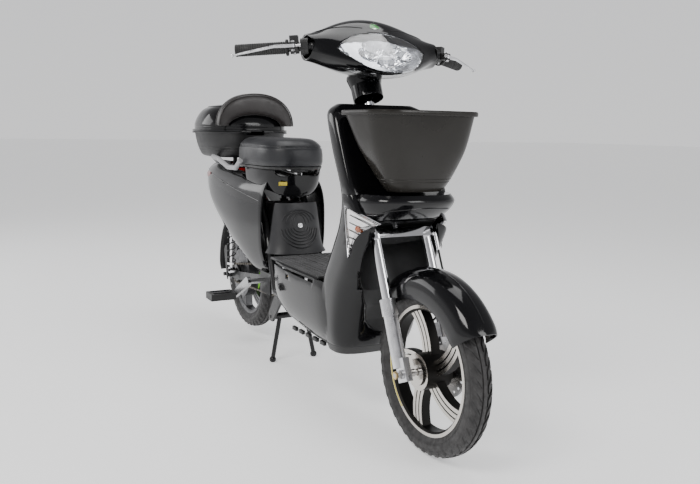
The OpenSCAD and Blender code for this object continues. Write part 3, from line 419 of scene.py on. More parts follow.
def turned(name, profile, centre, axis, n=64, closed_profile=False):
    """A solid of revolution: profile rows are (radius, distance along the axis)."""
    axis = Vector(axis).normalized()
    side = axis.orthogonal().normalized()
    other = axis.cross(side)
    verts, faces = [], []
    m = len(profile)
    for i in range(n):
        t = 2 * math.pi * i / n
        d = side * math.cos(t) + other * math.sin(t)
        for r, h in profile:
            verts.append(Vector(centre) + d * r + axis * h)
    for i in range(n):
        for k in range(m if closed_profile else m - 1):
            a, b = i * m + k, i * m + (k + 1) % m
            c, d = ((i + 1) % n) * m + (k + 1) % m, ((i + 1) % n) * m + k
            faces.append((a, b, c, d))
    obj = make_object(name, verts, faces)
    bm = bmesh.new()
    bm.from_mesh(obj.data)
    bmesh.ops.remove_doubles(bm, verts=bm.verts, dist=1e-6)
    bmesh.ops.recalc_face_normals(bm, faces=bm.faces)
    bm.to_mesh(obj.data)
    bm.free()
    return obj


def tube(name, points, radius, sides=14, steps=6, closed=False):
    path = smooth_rows(points, steps, closed)
    count = len(path)
    rings, u = [], None
    for i in range(count):
        a = path[(i - 1) % count] if closed else path[max(i - 1, 0)]
        b = path[(i + 1) % count] if closed else path[min(i + 1, count - 1)]
        d = (b - a) / np.linalg.norm(b - a)
        if u is None:
            ref = np.array([0, 0, 1.0]) if abs(d[2]) < 0.8 else np.array([1.0, 0, 0])
            u = np.cross(d, ref)
        u = u - d * np.dot(u, d)
        u = u / np.linalg.norm(u)
        v = np.cross(d, u)
        t = np.linspace(0, 2 * math.pi, sides, endpoint=False)[:, None]
        r = radius[i] if isinstance(radius, (list, np.ndarray)) else radius
        rings.append(path[i] + r * (u * np.cos(t) + v * np.sin(t)))
    return loft(name, rings, True, closed)


def join(name, objects):
    bm = bmesh.new()
    for o in objects:
        bm.from_mesh(o.data)
    mesh = bpy.data.meshes.new(name)
    bm.to_mesh(mesh)
    bm.free()
    for o in objects:
        bpy.data.objects.remove(o)
    obj = bpy.data.objects.new(name, mesh)
    scene.collection.objects.link(obj)
    return obj


def mirrored_copy(obj, name):
    mesh = obj.data.copy()
    copy = bpy.data.objects.new(name, mesh)
    scene.collection.objects.link(copy)
    mesh.transform(Matrix.Scale(-1, 4, (0, 1, 0)))
    mesh.flip_normals()
    return copy


def place(obj, matrix):
    obj.data.transform(matrix)
    return obj


def bar_matrix(side):
    """From the swept bar end's own frame (local z outward) to the scooter's, in metres."""
    m = (Matrix.Translation((0.362, 0.180, 1.015)) @ Matrix.Rotation(math.radians(30), 4, "Z")
         @ Matrix.Rotation(math.radians(-94), 4, "X"))
    return Matrix.Scale(-1, 4, (0, 1, 0)) @ m if side < 0 else m


def finish_piece(obj, body, material, slot, *replaced, angle=32):
    obj.data.materials.clear()
    obj.data.materials.append(MATERIALS[material].m if material in MATERIALS else EXTRA[material].m)
    obj.data.shade_smooth()
    obj.data.set_sharp_from_angle(angle=math.radians(angle))
    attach(obj, body)
    if replaced:
        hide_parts(*replaced)
    return obj


# ---------------------------------------------------------------- body envelopes
FRONT_ROWS = [(186, 290, 412, 108, 0), (230, 292, 436, 126, 0), (300, 292, 458, 136, 0),
              (386, 292, 492, 142, 4), (430, 305, 512, 143, 14), (490, 332, 532, 144, 28),
              (560, 368, 548, 146, 38), (640, 398, 508, 150, 40), (740, 353, 462, 152, 40),
              (820, 318, 424, 151, 40), (852, 308, 404, 142, 36), (870, 322, 380, 112, 24)]
BELLY_ROWS = [(-28, 203, 128), (60, 190, 140), (200, 178, 145), (330, 174, 144), (395, 180, 130)]
REAR_ROWS = [(-845, 575, 655, 84), (-800, 530, 668, 104), (-700, 462, 676, 124), (-560, 392, 672, 134),
             (-400, 322, 668, 136), (-280, 285, 666, 130), (-150, 300, 664, 118)]
COLUMN_ROWS = [(388, -84, 116), (420, -98, 104), (500, -118, 99), (580, -138, 100), (640, -150, 96)]
BOWL_ROWS = [(556, -420, -168, 66, 2.4), (574, -440, -136, 92, 2.6), (610, -455, -116, 107, 2.8),
             (666, -470, -108, 113, 3)]


def front_form(inset, name="front_form"):
    return loft(name, [level_ring(z - (inset if z > 800 else 0), x0 + inset, x1 - inset, ry - inset, 3, bow)
                       for z, x0, x1, ry, bow in smooth_rows(FRONT_ROWS, 4)])


def belly_form(inset):
    obj = loft("belly_form", [cross_ring(x, z + inset, 2 * FLOOR_Z - z - inset, ry - inset, 3.4)
                              for x, z, ry in smooth_rows(BELLY_ROWS, 5)])
    return boolean(obj, box_object((-400, -300, 0), (800, 300, FLOOR_Z)), "INTERSECT")


def rear_form(inset):
    return loft("rear_form", [cross_ring(x + (inset if x < -820 else 0), z0 + inset, z1 - inset, ry - inset, 3)
                              for x, z0, z1, ry in smooth_rows(REAR_ROWS, 5)])


def column_form(inset):
    return loft("column_form", [level_ring(z, -330, x - inset, ry - inset, 3)
                                for z, x, ry in smooth_rows(COLUMN_ROWS, 8)])


def bowl_form(inset):
    return loft("bowl_form", [level_ring(z, x0, x1 - inset, ry - inset, e)
                              for z, x0, x1, ry, e in smooth_rows(BOWL_ROWS, 8)])


def steering_space(grow):
    reach = TYRE_R - 42 + 10 + grow
    profile = [(0, -160), (reach, -160), (reach, 62), (reach - 10, 118), (152 + grow, 168), (126 + grow, 202),
               (112 + grow, 240), (112 + grow, 379 + grow), (0, 379 + grow)]
    return turned("steering_space", profile, (STEER_X, 0, STEER_Z), (-math.sin(RAKE), 0, math.cos(RAKE)), 96)


SIGNAL_TOP, SIGNAL_FRONT, SIGNAL_LOW = (np.array(p, float) for p in ((482, -143, 612), (590, -93, 573),
                                                                     (500, -140, 476)))
SIGNAL_OUT = np.cross(SIGNAL_LOW - SIGNAL_TOP, SIGNAL_FRONT - SIGNAL_TOP)
SIGNAL_OUT = SIGNAL_OUT / np.linalg.norm(SIGNAL_OUT)
SIGNAL_MID = (SIGNAL_TOP + SIGNAL_FRONT + SIGNAL_LOW) / 3


def signal_outline(shrink, depth, steps=16):
    edge = [SIGNAL_FRONT + (SIGNAL_LOW - SIGNAL_FRONT) * t
            + np.array((-0.6, 0.1, 0.8)) * 26 * 4 * t * (1 - t) / 1.2 for t in np.linspace(0, 1, steps)]
    back = [SIGNAL_LOW + (SIGNAL_TOP - SIGNAL_LOW) * t for t in np.linspace(0, 1, 8)[1:]]
    top = [SIGNAL_TOP + (SIGNAL_FRONT - SIGNAL_TOP) * t for t in np.linspace(0, 1, 8)[1:-1]]
    return [p + (SIGNAL_MID - p) * shrink + SIGNAL_OUT * depth for p in edge + back + top]


def signal_prism(shrink, d0, d1):
    return loft("signal_prism", [np.array(signal_outline(shrink, d0)), np.array(signal_outline(shrink, d1))])


def side_cover(name, body_side):
    shell = boolean(front_form(0), belly_form(0), "UNION")
    inner = boolean(front_form(COVER_WALL), belly_form(COVER_WALL), "UNION")
    boolean(shell, inner)
    for low, high in (((-400, -300, 640), (900, 300, 1000)), ((-400, -300, 372), (298, 300, 412)),
                      ((-400, -300, 0), (900, 300, 212)), ((-400, -0.3, 0), (900, 400, 900))):
        boolean(shell, box_object(low, high))
    boolean(shell, steering_space(1))
    boolean(shell, signal_prism(-0.012, -14, 30))
    slot = place(box_object((-4.5, -30, -30), (4.5, 30, 30)),
                 Matrix.Translation((0.496, -0.112, 0.412)) @ Matrix.Rotation(math.radians(24), 4, "Y"))
    boolean(shell, slot)
    if body_side < 0:
        boolean(shell, box_object((93, -160, 348), (117, -120, 364)))
    else:
        flipped = mirrored_copy(shell, name)
        bpy.data.objects.remove(shell)
        shell = flipped
    shell.name = name
    bevel(shell, 0.7, 2, 50)
    return shell


def body_panels():
    finish_piece(side_cover("right_side_panel", -1), "frame", "gloss_black", "gloss_black", "right_side_cover")
    finish_piece(side_cover("left_side_panel", 1), "frame", "gloss_black", "gloss_black", "left_side_cover")

    shield = boolean(front_form(0), front_form(COVER_WALL))
    boolean(shield, box_object((0, -300, 0), (900, 300, 640.6)))
    boolean(shield, turned("bore", [(0, 0), (17, 0), (17, 900), (0, 900)], (STEER_X, 0, STEER_Z),
                           (-math.sin(RAKE), 0, math.cos(RAKE)), 48))
    boolean(shield, turned("bore", [(0, -40), (11, -40), (11, 40), (0, 40)], (300, -58, 800), (-1, 0, 0), 32))
    bevel(shield, 0.8, 2, 50)
    shield.name = "leg_shield_skin"
    finish_piece(shield, "frame", "gloss_black", "gloss_black", "leg_shield")

    tray = boolean(front_form(0), belly_form(0), "UNION")
    boolean(tray, boolean(front_form(COVER_WALL), belly_form(COVER_WALL), "UNION"))
    boolean(tray, box_object((-400, -300, 211), (900, 300, 1000)))
    boolean(tray, box_object((-90, -90, 160), (-30, 90, 220)))
    for side in (-1, 1):
        for k in range(3):
            boolean(tray, box_object((19 + 60 * k, side * 135 - 20, 201), (61 + 60 * k, side * 135 + 20, 207)))
    ribs = []
    for side in (-1, 1):
        for k in range(5):
            ribs.append(box_object((90 + k * 45, side * (112 - k * 2) - 5, 184),
                                   (118 + k * 45, side * (112 - k * 2) + 5, 196)))
    tray.name = "belly_tray_skin"
    finish_piece(tray, "frame", "trim_black", "trim_black", "belly_tray")
    for rib in ribs:
        bevel(rib, 1.5)
    finish_piece(join("tray_ribs", ribs), "frame", "trim_black", "trim_black")

    outer = smooth_rows([(576, 420, 590, 108), (600, 412, 622, 126), (626, 405, 643, 132),
                         (644, 405, 632, 124)], 5)
    inner = smooth_rows([(570, 412, 586, 104), (600, 408, 618, 122), (626, 402, 639, 128),
                         (640, 402, 628, 120)], 5)
    panel = loft("front_panel_skin", [level_ring(z, a, b, r, 2.6) for z, a, b, r in outer])
    boolean(panel, loft("inner", [level_ring(z, a, b, r, 2.6) for z, a, b, r in inner]))
    boolean(panel, front_form(-0.6))
    boolean(panel, steering_space(1))
    pocket = signal_prism(-0.012, -14, 30)
    boolean(panel, mirrored_copy(pocket, "cut"))
    boolean(panel, pocket)
    bevel(panel, 0.8, 2, 50)
    finish_piece(panel, "frame", "gloss_black", "gloss_black", "front_panel")

    # Crease bead that runs along the middle of the front panel
    bead = tube("panel_crease", [(575, -112, 600), (614, -84, 607), (630, -40, 611), (634, 0, 612), (630, 40, 611),
                                 (614, 84, 607), (575, 112, 600)], 2.2, 10, 6)
    finish_piece(bead, "frame", "gloss_black", "gloss_black")


def charging_socket():
    cup = box_object((93.6, -141.5, 348.6), (116.4, -126, 363.4))
    boolean(cup, box_object((95.4, -150, 350.4), (114.6, -129, 361.6)))
    bevel(cup, 0.6)
    finish_piece(cup, "frame", "trim_black", "trim_black")
    pins = [turned("pin", [(0, -138), (1.6, -138), (2.0, -137), (2.0, -129)], (99 + 6 * k, 0, 356), (0, 1, 0), 16)
            for k in range(3)]
    finish_piece(join("socket_pins", pins), "frame", "brass", "steel")


def screw(name, centre, axis, radius=4, head=1.6):
    body = turned(name, [(0, -1), (radius, -1), (radius, head * 0.5), (radius * 0.8, head), (radius * 0.42, head),
                         (radius * 0.36, head * 0.25), (0, head * 0.25)], centre, axis, 24)
    return body


def seat_column():
    cover = boolean(column_form(0), column_form(COVER_WALL))
    for low, high in (((-400, -300, 300), (-215, 300, 800)), ((-400, -300, 300), (400, 300, 387)),
                      ((-400, -300, 555), (400, 300, 800))):
        boolean(cover, box_object(low, high))
    boolean(cover, rear_form(-0.6))
    bevel(cover, 0.8, 2, 50)
    cover.name = "column_skin"
    finish_piece(cover, "frame", "column_grey", "column_grey", "column_cover")

    def on_column(y, z):
        """A point on the column's front skin."""
        rows = np.array(COLUMN_ROWS, float)
        x1, ry = np.interp(z, rows[:, 0], rows[:, 1]), np.interp(z, rows[:, 0], rows[:, 2])
        c = max(0.0, 1 - abs(y / ry) ** 3) ** (1 / 3)
        return np.array(((-330 + x1) / 2 + (x1 + 330) / 2 * c, y, z))

    # Embossed shield of curved ridges round the battery lock
    ridges = []
    for k in range(6):
        half, drop = 66 - k * 9, 60 - k * 9
        points = []
        for t in np.linspace(0, 1, 17):
            a = math.pi * (1 - t)
            points.append(on_column(half * math.cos(a), 468 + k * 1.5 - drop * math.sin(a))
                          + np.array((1.2, 0, 0)))
        ridges.append(tube("ridge", points, 2.6, 10, 3))
    for k in range(4):
        half = 60 - k * 12
        points = [on_column(half * math.cos(a), 492 + 40 * math.sin(a) - k * 5) + np.array((1.0, 0, 0))
                  for a in np.linspace(0.15, math.pi - 0.15, 13)]
        ridges.append(tube("ridge", points, 2.2, 10, 3))
    finish_piece(join("column_ridges", ridges), "frame", "column_grey", "column_grey")
    lock = turned("battery_lock", [(0, -2), (9, -2), (9, 2.5), (7.5, 4), (2, 4), (2, 1.5), (0, 1.5)],
                  on_column(0, 480), (1, 0, 0.18), 32)
    finish_piece(lock, "frame", "steel", "steel")

    bowl = boolean(bowl_form(0), bowl_form(COVER_WALL))
    boolean(bowl, column_form(0.6))
    boolean(bowl, box_object((-600, -300, 500), (-335, 300, 800)))
    boolean(bowl, turned("swing", [(0, -115), (18.4, -115), (18.4, 115), (0, 115)], (-121, 0, 664), (0, 1, 0), 48))
    bowl.name = "under_seat_skin"
    bevel(bowl, 0.7, 2, 50)
    finish_piece(bowl, "frame", "gloss_black", "gloss_black", "under_seat_cover")
    sticker = [[(-114.6 - 0.5 * abs(u) ** 2 * 6, -62 + 30 * u, 622 + 6 * v) for v in (-1, 1)]
               for u in (-0.5, 0, 0.5)]
    plate = grid("seat_sticker", np.array(sticker, float), 0.6)
    finish_piece(plate, "frame", "sticker", "gloss_black")


def rear_panels():
    half = boolean(rear_form(0), rear_form(COVER_WALL))
    wheel = turned("wheel_space", [(0, -76), (TYRE_R + 44, -76), (TYRE_R + 44, 76), (0, 76)],
                   (REAR_X, 0, REAR_Z + 26),
                   (0, 1, 0), 96)
    boolean(half, wheel)
    boolean(half, bowl_form(-0.6))
    for low, high in (((-1000, -74, 0), (0, 326, 560)), ((-1000, -0.3, 0), (0, 400, 900)),
                      ((-500, -96, 560), (-100, 104, 760)), ((-800, -84, 640), (-480, 116, 700)),
                      ((-900, -74, 588), (-840, 76, 642)), ((-170, -200, 200), (30, 100, 800)),
                      ((-532, -129, 200), (-478, -59, 600))):
        boolean(half, box_object(low, high))
    boolean(half, turned("crank_hole", [(0, -200), (26, -200), (26, 0), (0, 0)], (CRANK_X, 0, CRANK_Z),
                         (0, 1, 0), 48))
    bevel(half, 0.8, 2, 50)
    left = mirrored_copy(half, "left_rear_panel")
    half.name = "right_rear_panel"
    finish_piece(half, "frame", "gloss_black", "gloss_black", "right_rear_cover")
    finish_piece(left, "frame", "gloss_black", "gloss_black", "left_rear_cover")
    # Raised seam line and slim red lens of the tail lamp's side
    for side, tag in ((-1, "right"), (1, "left")):
        def skin(x, z, proud):
            rows = np.array(REAR_ROWS, float)
            order = np.argsort(rows[:, 0])
            z0, z1, ry = (np.interp(x, rows[order, 0], rows[order, c]) for c in (1, 2, 3))
            v = min(1, abs((z - (z0 + z1) / 2) / ((z1 - z0) / 2)))
            return (x, side * (ry * (1 - v ** 3) ** (1 / 3) + proud), z)
        seam = tube(tag + "_rear_seam", [skin(x, np.interp(x, (-800, -190), (636, 560)), -0.6)
                                         for x in np.linspace(-800, -190, 16)], 2.0, 10, 3)
        finish_piece(seam, "frame", "gloss_black", "gloss_black")
        lens = []
        for t in np.linspace(0, 1, 9):
            x = -836 + 120 * t
            half_h = 2 + 9 * math.sin(math.pi * min(1, t * 0.9 + 0.1))
            lens.append([skin(x, 612 + 12 * t + half_h * v, 0.4 + 2.2 * math.sqrt(max(0, 1 - v * v)))
                         for v in np.linspace(-1, 1, 9)])
        lens = grid(tag + "_tail_lens", np.array(lens, float), 2.0)
        finish_piece(lens, "frame", "red_lens", "red_lens")


body_panels()
charging_socket()
seat_column()
rear_panels()


# ---------------------------------------------------------------- basket
BASKET_ROWS = [(652, 548, 622, 76, 2.4), (668, 538, 632, 88, 2.6), (710, 512, 645, 112, 3),
               (765, 482, 657, 136, 3.4), (850, 436, 668, 154, 4)]


def basket():
    rows = smooth_rows(BASKET_ROWS, 5)
    outer = [level_ring(z, x0, x1, ry, e, n=128) for z, x0, x1, ry, e in rows if z < 838]
    outer.append(level_ring(838, 441, 667, 153, 3.95, n=128))
    # Rolled lip: out, over and back down inside
    lip = [(838.5, 429, 673, 159), (841, 427.6, 674.2, 160), (847, 427.6, 674.2, 160), (850.4, 430, 672.5, 158),
           (850.4, 436, 668, 154), (847, 439.6, 665.6, 151.6), (838, 442.5, 664, 150.4)]
    outer += [level_ring(z, x0, x1, ry, 4, n=128) for z, x0, x1, ry in lip]
    inner = [level_ring(z, x0 + 3, x1 - 3, ry - 3, e, n=128) for z, x0, x1, ry, e in rows[::-1] if 656 < z < 834]
    inner.append(level_ring(655.5, 549, 621, 74, 2.4, n=128))
    shell = loft("basket_shell", outer + inner, caps=True)
    finish_piece(shell, "frame", "basket_plastic", "basket_plastic", "basket")
    ribs = []
    for z in (676, 683):
        row = [r for r in rows if r[0] <= z][-1]
        x0, x1, ry = (np.interp(z, rows[:, 0], rows[:, c]) for c in (1, 2, 3))
        ribs.append(tube("rib", level_ring(z, x0 - 0.2, x1 + 0.2, ry + 0.2, row[4], n=64), 1.0, 8, 1, True))
    finish_piece(join("basket_ribs", ribs), "frame", "basket_plastic", "basket_plastic")
    floor_ribs = [box_object((552, y - 1.5, 655), (618, y + 1.5, 657.5)) for y in range(-60, 61, 20)]
    for rib in floor_ribs:
        bevel(rib, 0.6)
    finish_piece(join("basket_floor_ribs", floor_ribs), "frame", "basket_plastic", "basket_plastic")


# ---------------------------------------------------------------- front turn signals
def signals():
    for side, tag in ((1, "right"), (-1, "left")):
        lens_rings = [signal_outline(0.085, -2), signal_outline(0.085, 4.5), signal_outline(0.11, 6.6),
                      signal_outline(0.19, 8.6), signal_outline(0.4, 10.2), signal_outline(0.7, 11),
                      signal_outline(0.97, 11.2)]
        lens = loft(tag + "_signal_lens", [np.array(r) for r in lens_rings])
        frame_rings = [signal_outline(0, -2), signal_outline(0, 4.6), signal_outline(0.015, 5.8),
                       signal_outline(0.06, 6.2), signal_outline(0.082, 5.0), signal_outline(0.086, -1)]
        rim = loft(tag + "_signal_frame", [np.array(r) for r in frame_rings], caps=False)
        bowl = []
        for k in range(9):
            t = k / 8
            ring = np.array(signal_outline(0.09 + 0.86 * t, -0.5 - 9.5 * math.sin(t * math.pi / 2)))
            bowl.append(ring + SIGNAL_OUT * (2.2 * (k % 2)) * (t < 0.9))
        bowl = loft(tag + "_signal_reflector", bowl, caps=True)
        bulb_at = SIGNAL_MID + SIGNAL_OUT * -8
        bulb = turned(tag + "_signal_bulb", [(0, 0), (4.5, 0), (4.5, 3), (7, 6), (7.6, 10), (6, 13.5),
                                             (3, 15.3), (0, 16)],
                      bulb_at, SIGNAL_OUT, 24)
        ribs = []
        for k in range(1, 7):
            f = k / 7
            a = SIGNAL_TOP + (SIGNAL_LOW - SIGNAL_TOP) * f
            b = SIGNAL_FRONT + (SIGNAL_LOW - SIGNAL_FRONT) * f
            a, b = a + (b - a) * 0.16, a + (b - a) * 0.8
            ribs.append(tube("rib", [a + SIGNAL_OUT * 0.6, (a + b) / 2 + SIGNAL_OUT * 0.6, b + SIGNAL_OUT
                                     * 0.6], 1.1, 8, 2))
        fins = join(tag + "_signal_fins", ribs)
        parts = [lens, rim, bowl, bulb, fins]
        if side < 0:
            flipped = [mirrored_copy(p, p.name + "_m") for p in parts]
            for p, q in zip(parts, flipped):
                name = p.name
                bpy.data.objects.remove(p)
                q.name = name
            lens, rim, bowl, bulb, fins = flipped
        finish_piece(lens, "frame", "signal_lens", "signal_lens", *(("front_signal_lenses",) if side > 0 else ()))
        finish_piece(rim, "frame", "chrome", "reflector", *(("front_signal_housings",) if side > 0 else ()))
        finish_piece(bowl, "frame", "reflector", "reflector", angle=20)
        finish_piece(bulb, "frame", "amber", "signal_lens")
        finish_piece(fins, "frame", "column_grey", "reflector")


# ---------------------------------------------------------------- head cowl and headlight
COWL_MID = [(250, 1000), (255, 1042), (272, 1078), (306, 1100), (345, 1092), (378, 1064), (412, 1034), (448, 1000),
            (478, 966), (470, 948), (430, 940), (385, 938), (340, 942), (300, 952), (270, 970), (256, 984)]
COWL_MID = [(x, min(z, 1099.5)) for x, z in COWL_MID]
COWL_ROWS = [(196, 1), (170, 0.86), (130, 0.56), (90, 0.28), (45, 0.07), (0, 0), (-45, 0.07), (-90, 0.28),
             (-130, 0.56), (-170, 0.86), (-196, 1)]
LAMP_MID = np.array((425.0, 0, 1010.0))
LAMP_W, LAMP_D = np.array((-0.7071, 0, 0.7071)), np.array((0.7071, 0, 0.7071))


def cowl_ring(y, t, inset):
    c = np.array((350.0, 1012.0))
    ring = []
    for x, z in smooth_rows(COWL_MID, 4, True):
        p = np.array((x, z))
        unit = lambda v: v / np.linalg.norm(v)
        q = c + unit(p - c) * 34
        m = p + (q - p) * t
        v = m + unit(c - m) * inset
        ring.append((v[0], y, v[1]))
    return np.array(ring)


def cowl_solid(inset):
    rows = smooth_rows(COWL_ROWS, 4)
    return loft("cowl_solid", [cowl_ring(y - math.copysign(min(inset, 3), y) * (abs(y) > 190),
                                         min(1, max(0, t)), inset)
                               for y, t in rows])


def lamp_prism(grow, d0, d1, n=25):
    us = np.linspace(-1, 1, n)
    low, high = [], []
    for u in us:
        t = (u + 1) / 2
        arch = (4 * t * (1 - t)) ** 0.8
        low.append((u * (132 + grow), 14 - (96 + grow) * arch))
        high.append((u * (132 + grow), 14 + (48 + grow) * arch))
    outline = low + high[-2:0:-1]
    ring = lambda d: np.array([LAMP_MID + LAMP_W * w + LAMP_D * d + np.array((0, u, 0)) for u, w in outline])
    return loft("lamp_prism", [ring(d0), ring(d1)])


def steering_clearance():
    """What the stem, the bar's ends and the neck take out of the cowl and the lens."""
    axis = (-math.sin(RAKE), 0, math.cos(RAKE))
    ends = [turned("end", [(0, 185), (30, 185), (30, 220), (0, 220)], (356, 0, 1012), (0, side, 0), 48)
            for side in (-1, 1)]
    return ends + [turned("neck", [(0, 0), (56, 0), (56, 840), (27, 840), (27, 870), (0, 870)],
                          (STEER_X, 0, STEER_Z), axis, 64)]


def head_unit():
    cowl = boolean(cowl_solid(0), cowl_solid(3.2))
    boolean(cowl, lamp_prism(0.6, -60, 120))
    for cutter in steering_clearance():
        boolean(cowl, cutter)
    bevel(cowl, 0.7, 2, 50)
    cowl.name = "cowl_skin"
    finish_piece(cowl, "steering", "gloss_black", "gloss_black", "head_cowl")

    # Raised character lines that sweep back from the lens over each shoulder
    lines = []
    for side in (-1, 1):
        ends = []
        for k, (y, frac) in enumerate(((40, 0.30), (84, 0.295), (124, 0.28), (158, 0.25), (184, 0.2))):
            t = np.interp(y, [0, 45, 90, 130, 170, 196], [0, 0.07, 0.28, 0.56, 0.86, 1])
            ring = cowl_ring(side * y, t, 0.4)
            ends.append(ring[int(frac * len(ring))])
        lines.append(tube("line", ends, 1.7, 8, 5))
    finish_piece(join("cowl_lines", lines), "steering", "gloss_black", "gloss_black")

    # Lens: the cowl's own skin inside the opening, slightly domed
    lens = boolean(cowl_solid(0.3), cowl_solid(2.6))
    boolean(lens, lamp_prism(0, -60, 120), "INTERSECT")
    boolean(lens, box_object((340, -200, 900), (640, 200, 1200)), "INTERSECT")
    for cutter in steering_clearance():
        boolean(lens, cutter)
    bevel(lens, 0.5, 2, 50)
    lens.name = "headlight_cover"
    finish_piece(lens, "steering", "clear_lens", "clear_lens", "headlight_lens")

    # Reflector: one wide bowl above and three faceted bowls below, sunk behind the lens
    def bowl(name, centre, rx, rw, depth, flutes, wave):
        rows = []
        for k in range(13):
            f = k / 12
            ring = []
            for i in range(96):
                a = 2 * math.pi * i / 96
                r = f * (1 + wave * math.cos(flutes * a) * f)
                u, w = centre[0] + rx * r * math.cos(a), centre[1] + rw * r * math.sin(a)
                d = -depth * (1 - f * f) - 8
                p = LAMP_MID + LAMP_W * w + LAMP_D * d + np.array((0, u, 0))
                ring.append(p)
            rows.append(ring)
        verts = [p for ring in rows[1:] for p in ring] + [rows[0][0]]
        faces = []
        for k in range(11):
            for i in range(96):
                a, b = k * 96 + i, k * 96 + (i + 1) % 96
                faces.append((a, b, b + 96, a + 96))
        top = len(verts) - 1
        faces += [(i, top, (i + 1) % 96) for i in range(96)]
        obj = make_object(name, verts, faces)
        fix_normals(obj)
        solidify(obj, 1.0, 0)
        return obj
    bowls = [bowl("b", (0, 20), 60, 26, 26, 12, 0.03), bowl("b", (-44, -8), 34, 28, 24, 10, 0.04),
             bowl("b", (44, -8), 34, 28, 24, 10, 0.04), bowl("b", (0, -40), 38, 24, 22, 10, 0.04)]
    plate = boolean(lamp_prism(-4, -14, -10), cowl_solid(4), "INTERSECT")
    plate.name = "headlight_surround"
    for at, rx, rw in (((0, 20), 58, 25), ((-44, -8), 33, 27), ((44, -8), 33, 27), ((0, -40), 37, 23)):
        ring = lambda d: np.array([LAMP_MID + LAMP_W * (at[1] + rw * math.sin(a)) + LAMP_D * d
                                   + np.array((0, at[0] + rx * math.cos(a), 0))
                                   for a in np.linspace(0, 2 * math.pi, 64, endpoint=False)])
        boolean(plate, loft("hole", [ring(-30), ring(10)]))
    finish_piece(join("headlight_bowls", bowls), "steering", "reflector", "reflector", "headlight_housing",
                 angle=25)
    finish_piece(plate, "steering", "reflector", "reflector")
    bulbs = []
    for u, w in ((0, 20), (-44, -8), (44, -8), (0, -40)):
        at = LAMP_MID + LAMP_W * w + LAMP_D * -32 + np.array((0, u, 0))
        bulbs.append(turned("bulb", [(0, 0), (6, 0), (6, 7), (4.6, 9), (5.4, 14), (4, 19), (0, 21)], at,
                            LAMP_D, 24))
    finish_piece(join("headlight_bulbs", bulbs), "steering", "clear_lens", "clear_lens")

    # Plain oval badge above the lens
    out, up = np.array((0.647, 0, 0.763)), np.array((-0.763, 0, 0.647))
    at = np.array((362.5, 0, 1077.2))
    for name, material, profile in (("badge_rim", "badge", ((1, -2), (1, 1.2), (0.93, 2.2), (0.86, 1.6),
                                                            (0.84, -1))),
                                    ("badge_face", "badge_green", ((0.86, -1), (0.86, 1.2), (0.5, 1.7),
                                                                   (0.04, 1.8)))):
        rings = []
        for r, h in profile:
            rings.append(np.array([at + np.array((0, 1, 0)) * 24 * r * math.cos(a) + up * 12.5 * r * math.sin(a)
                                   + out * (h - 2.2 * (r * math.cos(a)) ** 2)
                                   for a in np.linspace(0, 2 * math.pi, 40, endpoint=False)]))
        finish_piece(loft(name, rings), "steering", material, "reflector")


basket()
signals()
head_unit()


# ---------------------------------------------------------------- fenders
def fender(name, centre, profile, start, sweep, body, slot, node):
    """A sheet swept round an axle: profile rows are (radius, half width)."""
    rows, count = [], 49
    for i in range(count):
        a = math.radians(start + sweep * i / (count - 1))
        end = min(i, count - 1 - i) / 3
        tight = 1 - 0.10 * max(0, 1 - end) ** 2
        outline = [(r, -w * tight) for r, w in profile] + [(r, w * tight) for r, w in profile[-2::-1]]
        outline = smooth_rows(outline, 4)
        rows.append([(centre[0] + r * math.cos(a), y, centre[1] + r * math.sin(a)) for r, y in outline])
    obj = grid(name, np.array(rows, float), 2.8)
    bevel(obj, 0.8, 2, 50)
    finish_piece(obj, body, slot, slot, node)


def fenders():
    fender("front_fender_skin", (FRONT_X, FRONT_Z), [(180, 53), (196, 54.5), (222, 52), (240, 43), (251, 28),
                                                     (255.4, 0)],
           34, 96, "fork_lower", "gloss_black", "front_fender")
    crease = [(FRONT_X + 256.0 * math.cos(math.radians(a)), 0, FRONT_Z + 256.0 * math.sin(math.radians(a)))
              for a in np.linspace(40, 124, 30)]
    finish_piece(tube("front_fender_crease", crease, 1.2, 8, 1), "fork_lower", "gloss_black", "gloss_black")
    fender("rear_fender_skin", (REAR_X, REAR_Z), [(251, 48), (258, 49), (266, 42), (270, 30), (270.6, 0)],
           35, 152, "frame", "trim_black", "rear_fender")


# ---------------------------------------------------------------- trunk, seat and backrest
def trunk_ring(z, g, n=128):
    return level_ring(z, -900 - g, -515.84 + g, 176 + g, 2.6, n=n)


def trunk():
    tub = smooth_rows([(690, -52), (700, -34), (740, -18), (781, -10)], 6)
    rings = [trunk_ring(690, -70)] + [trunk_ring(z, g) for z, g in tub]
    rings += [trunk_ring(781.4, -1.2), trunk_ring(782.2, -0.3), trunk_ring(787.2, -0.3), trunk_ring(788, -1.2)]
    rings += [trunk_ring(787.9, -13.5)] + [trunk_ring(z, g) for z, g in smooth_rows(
        [(780, -14), (740, -22), (703, -38), (693.5, -56)], 6)]
    body = loft("trunk_tub_shell", rings)
    cut = box_object((-535, -34, 776), (-500, 34, 792))
    boolean(body, cut)
    rails = []
    for z, g in ((716, -26.2), (728, -21.6)):
        rails.append(tube("rib", trunk_ring(z, g, 64), 1.3, 8, 1, True))
    finish_piece(body, "frame", "trim_black", "trim_black")
    finish_piece(join("trunk_ribs", rails), "frame", "trim_black", "trim_black")


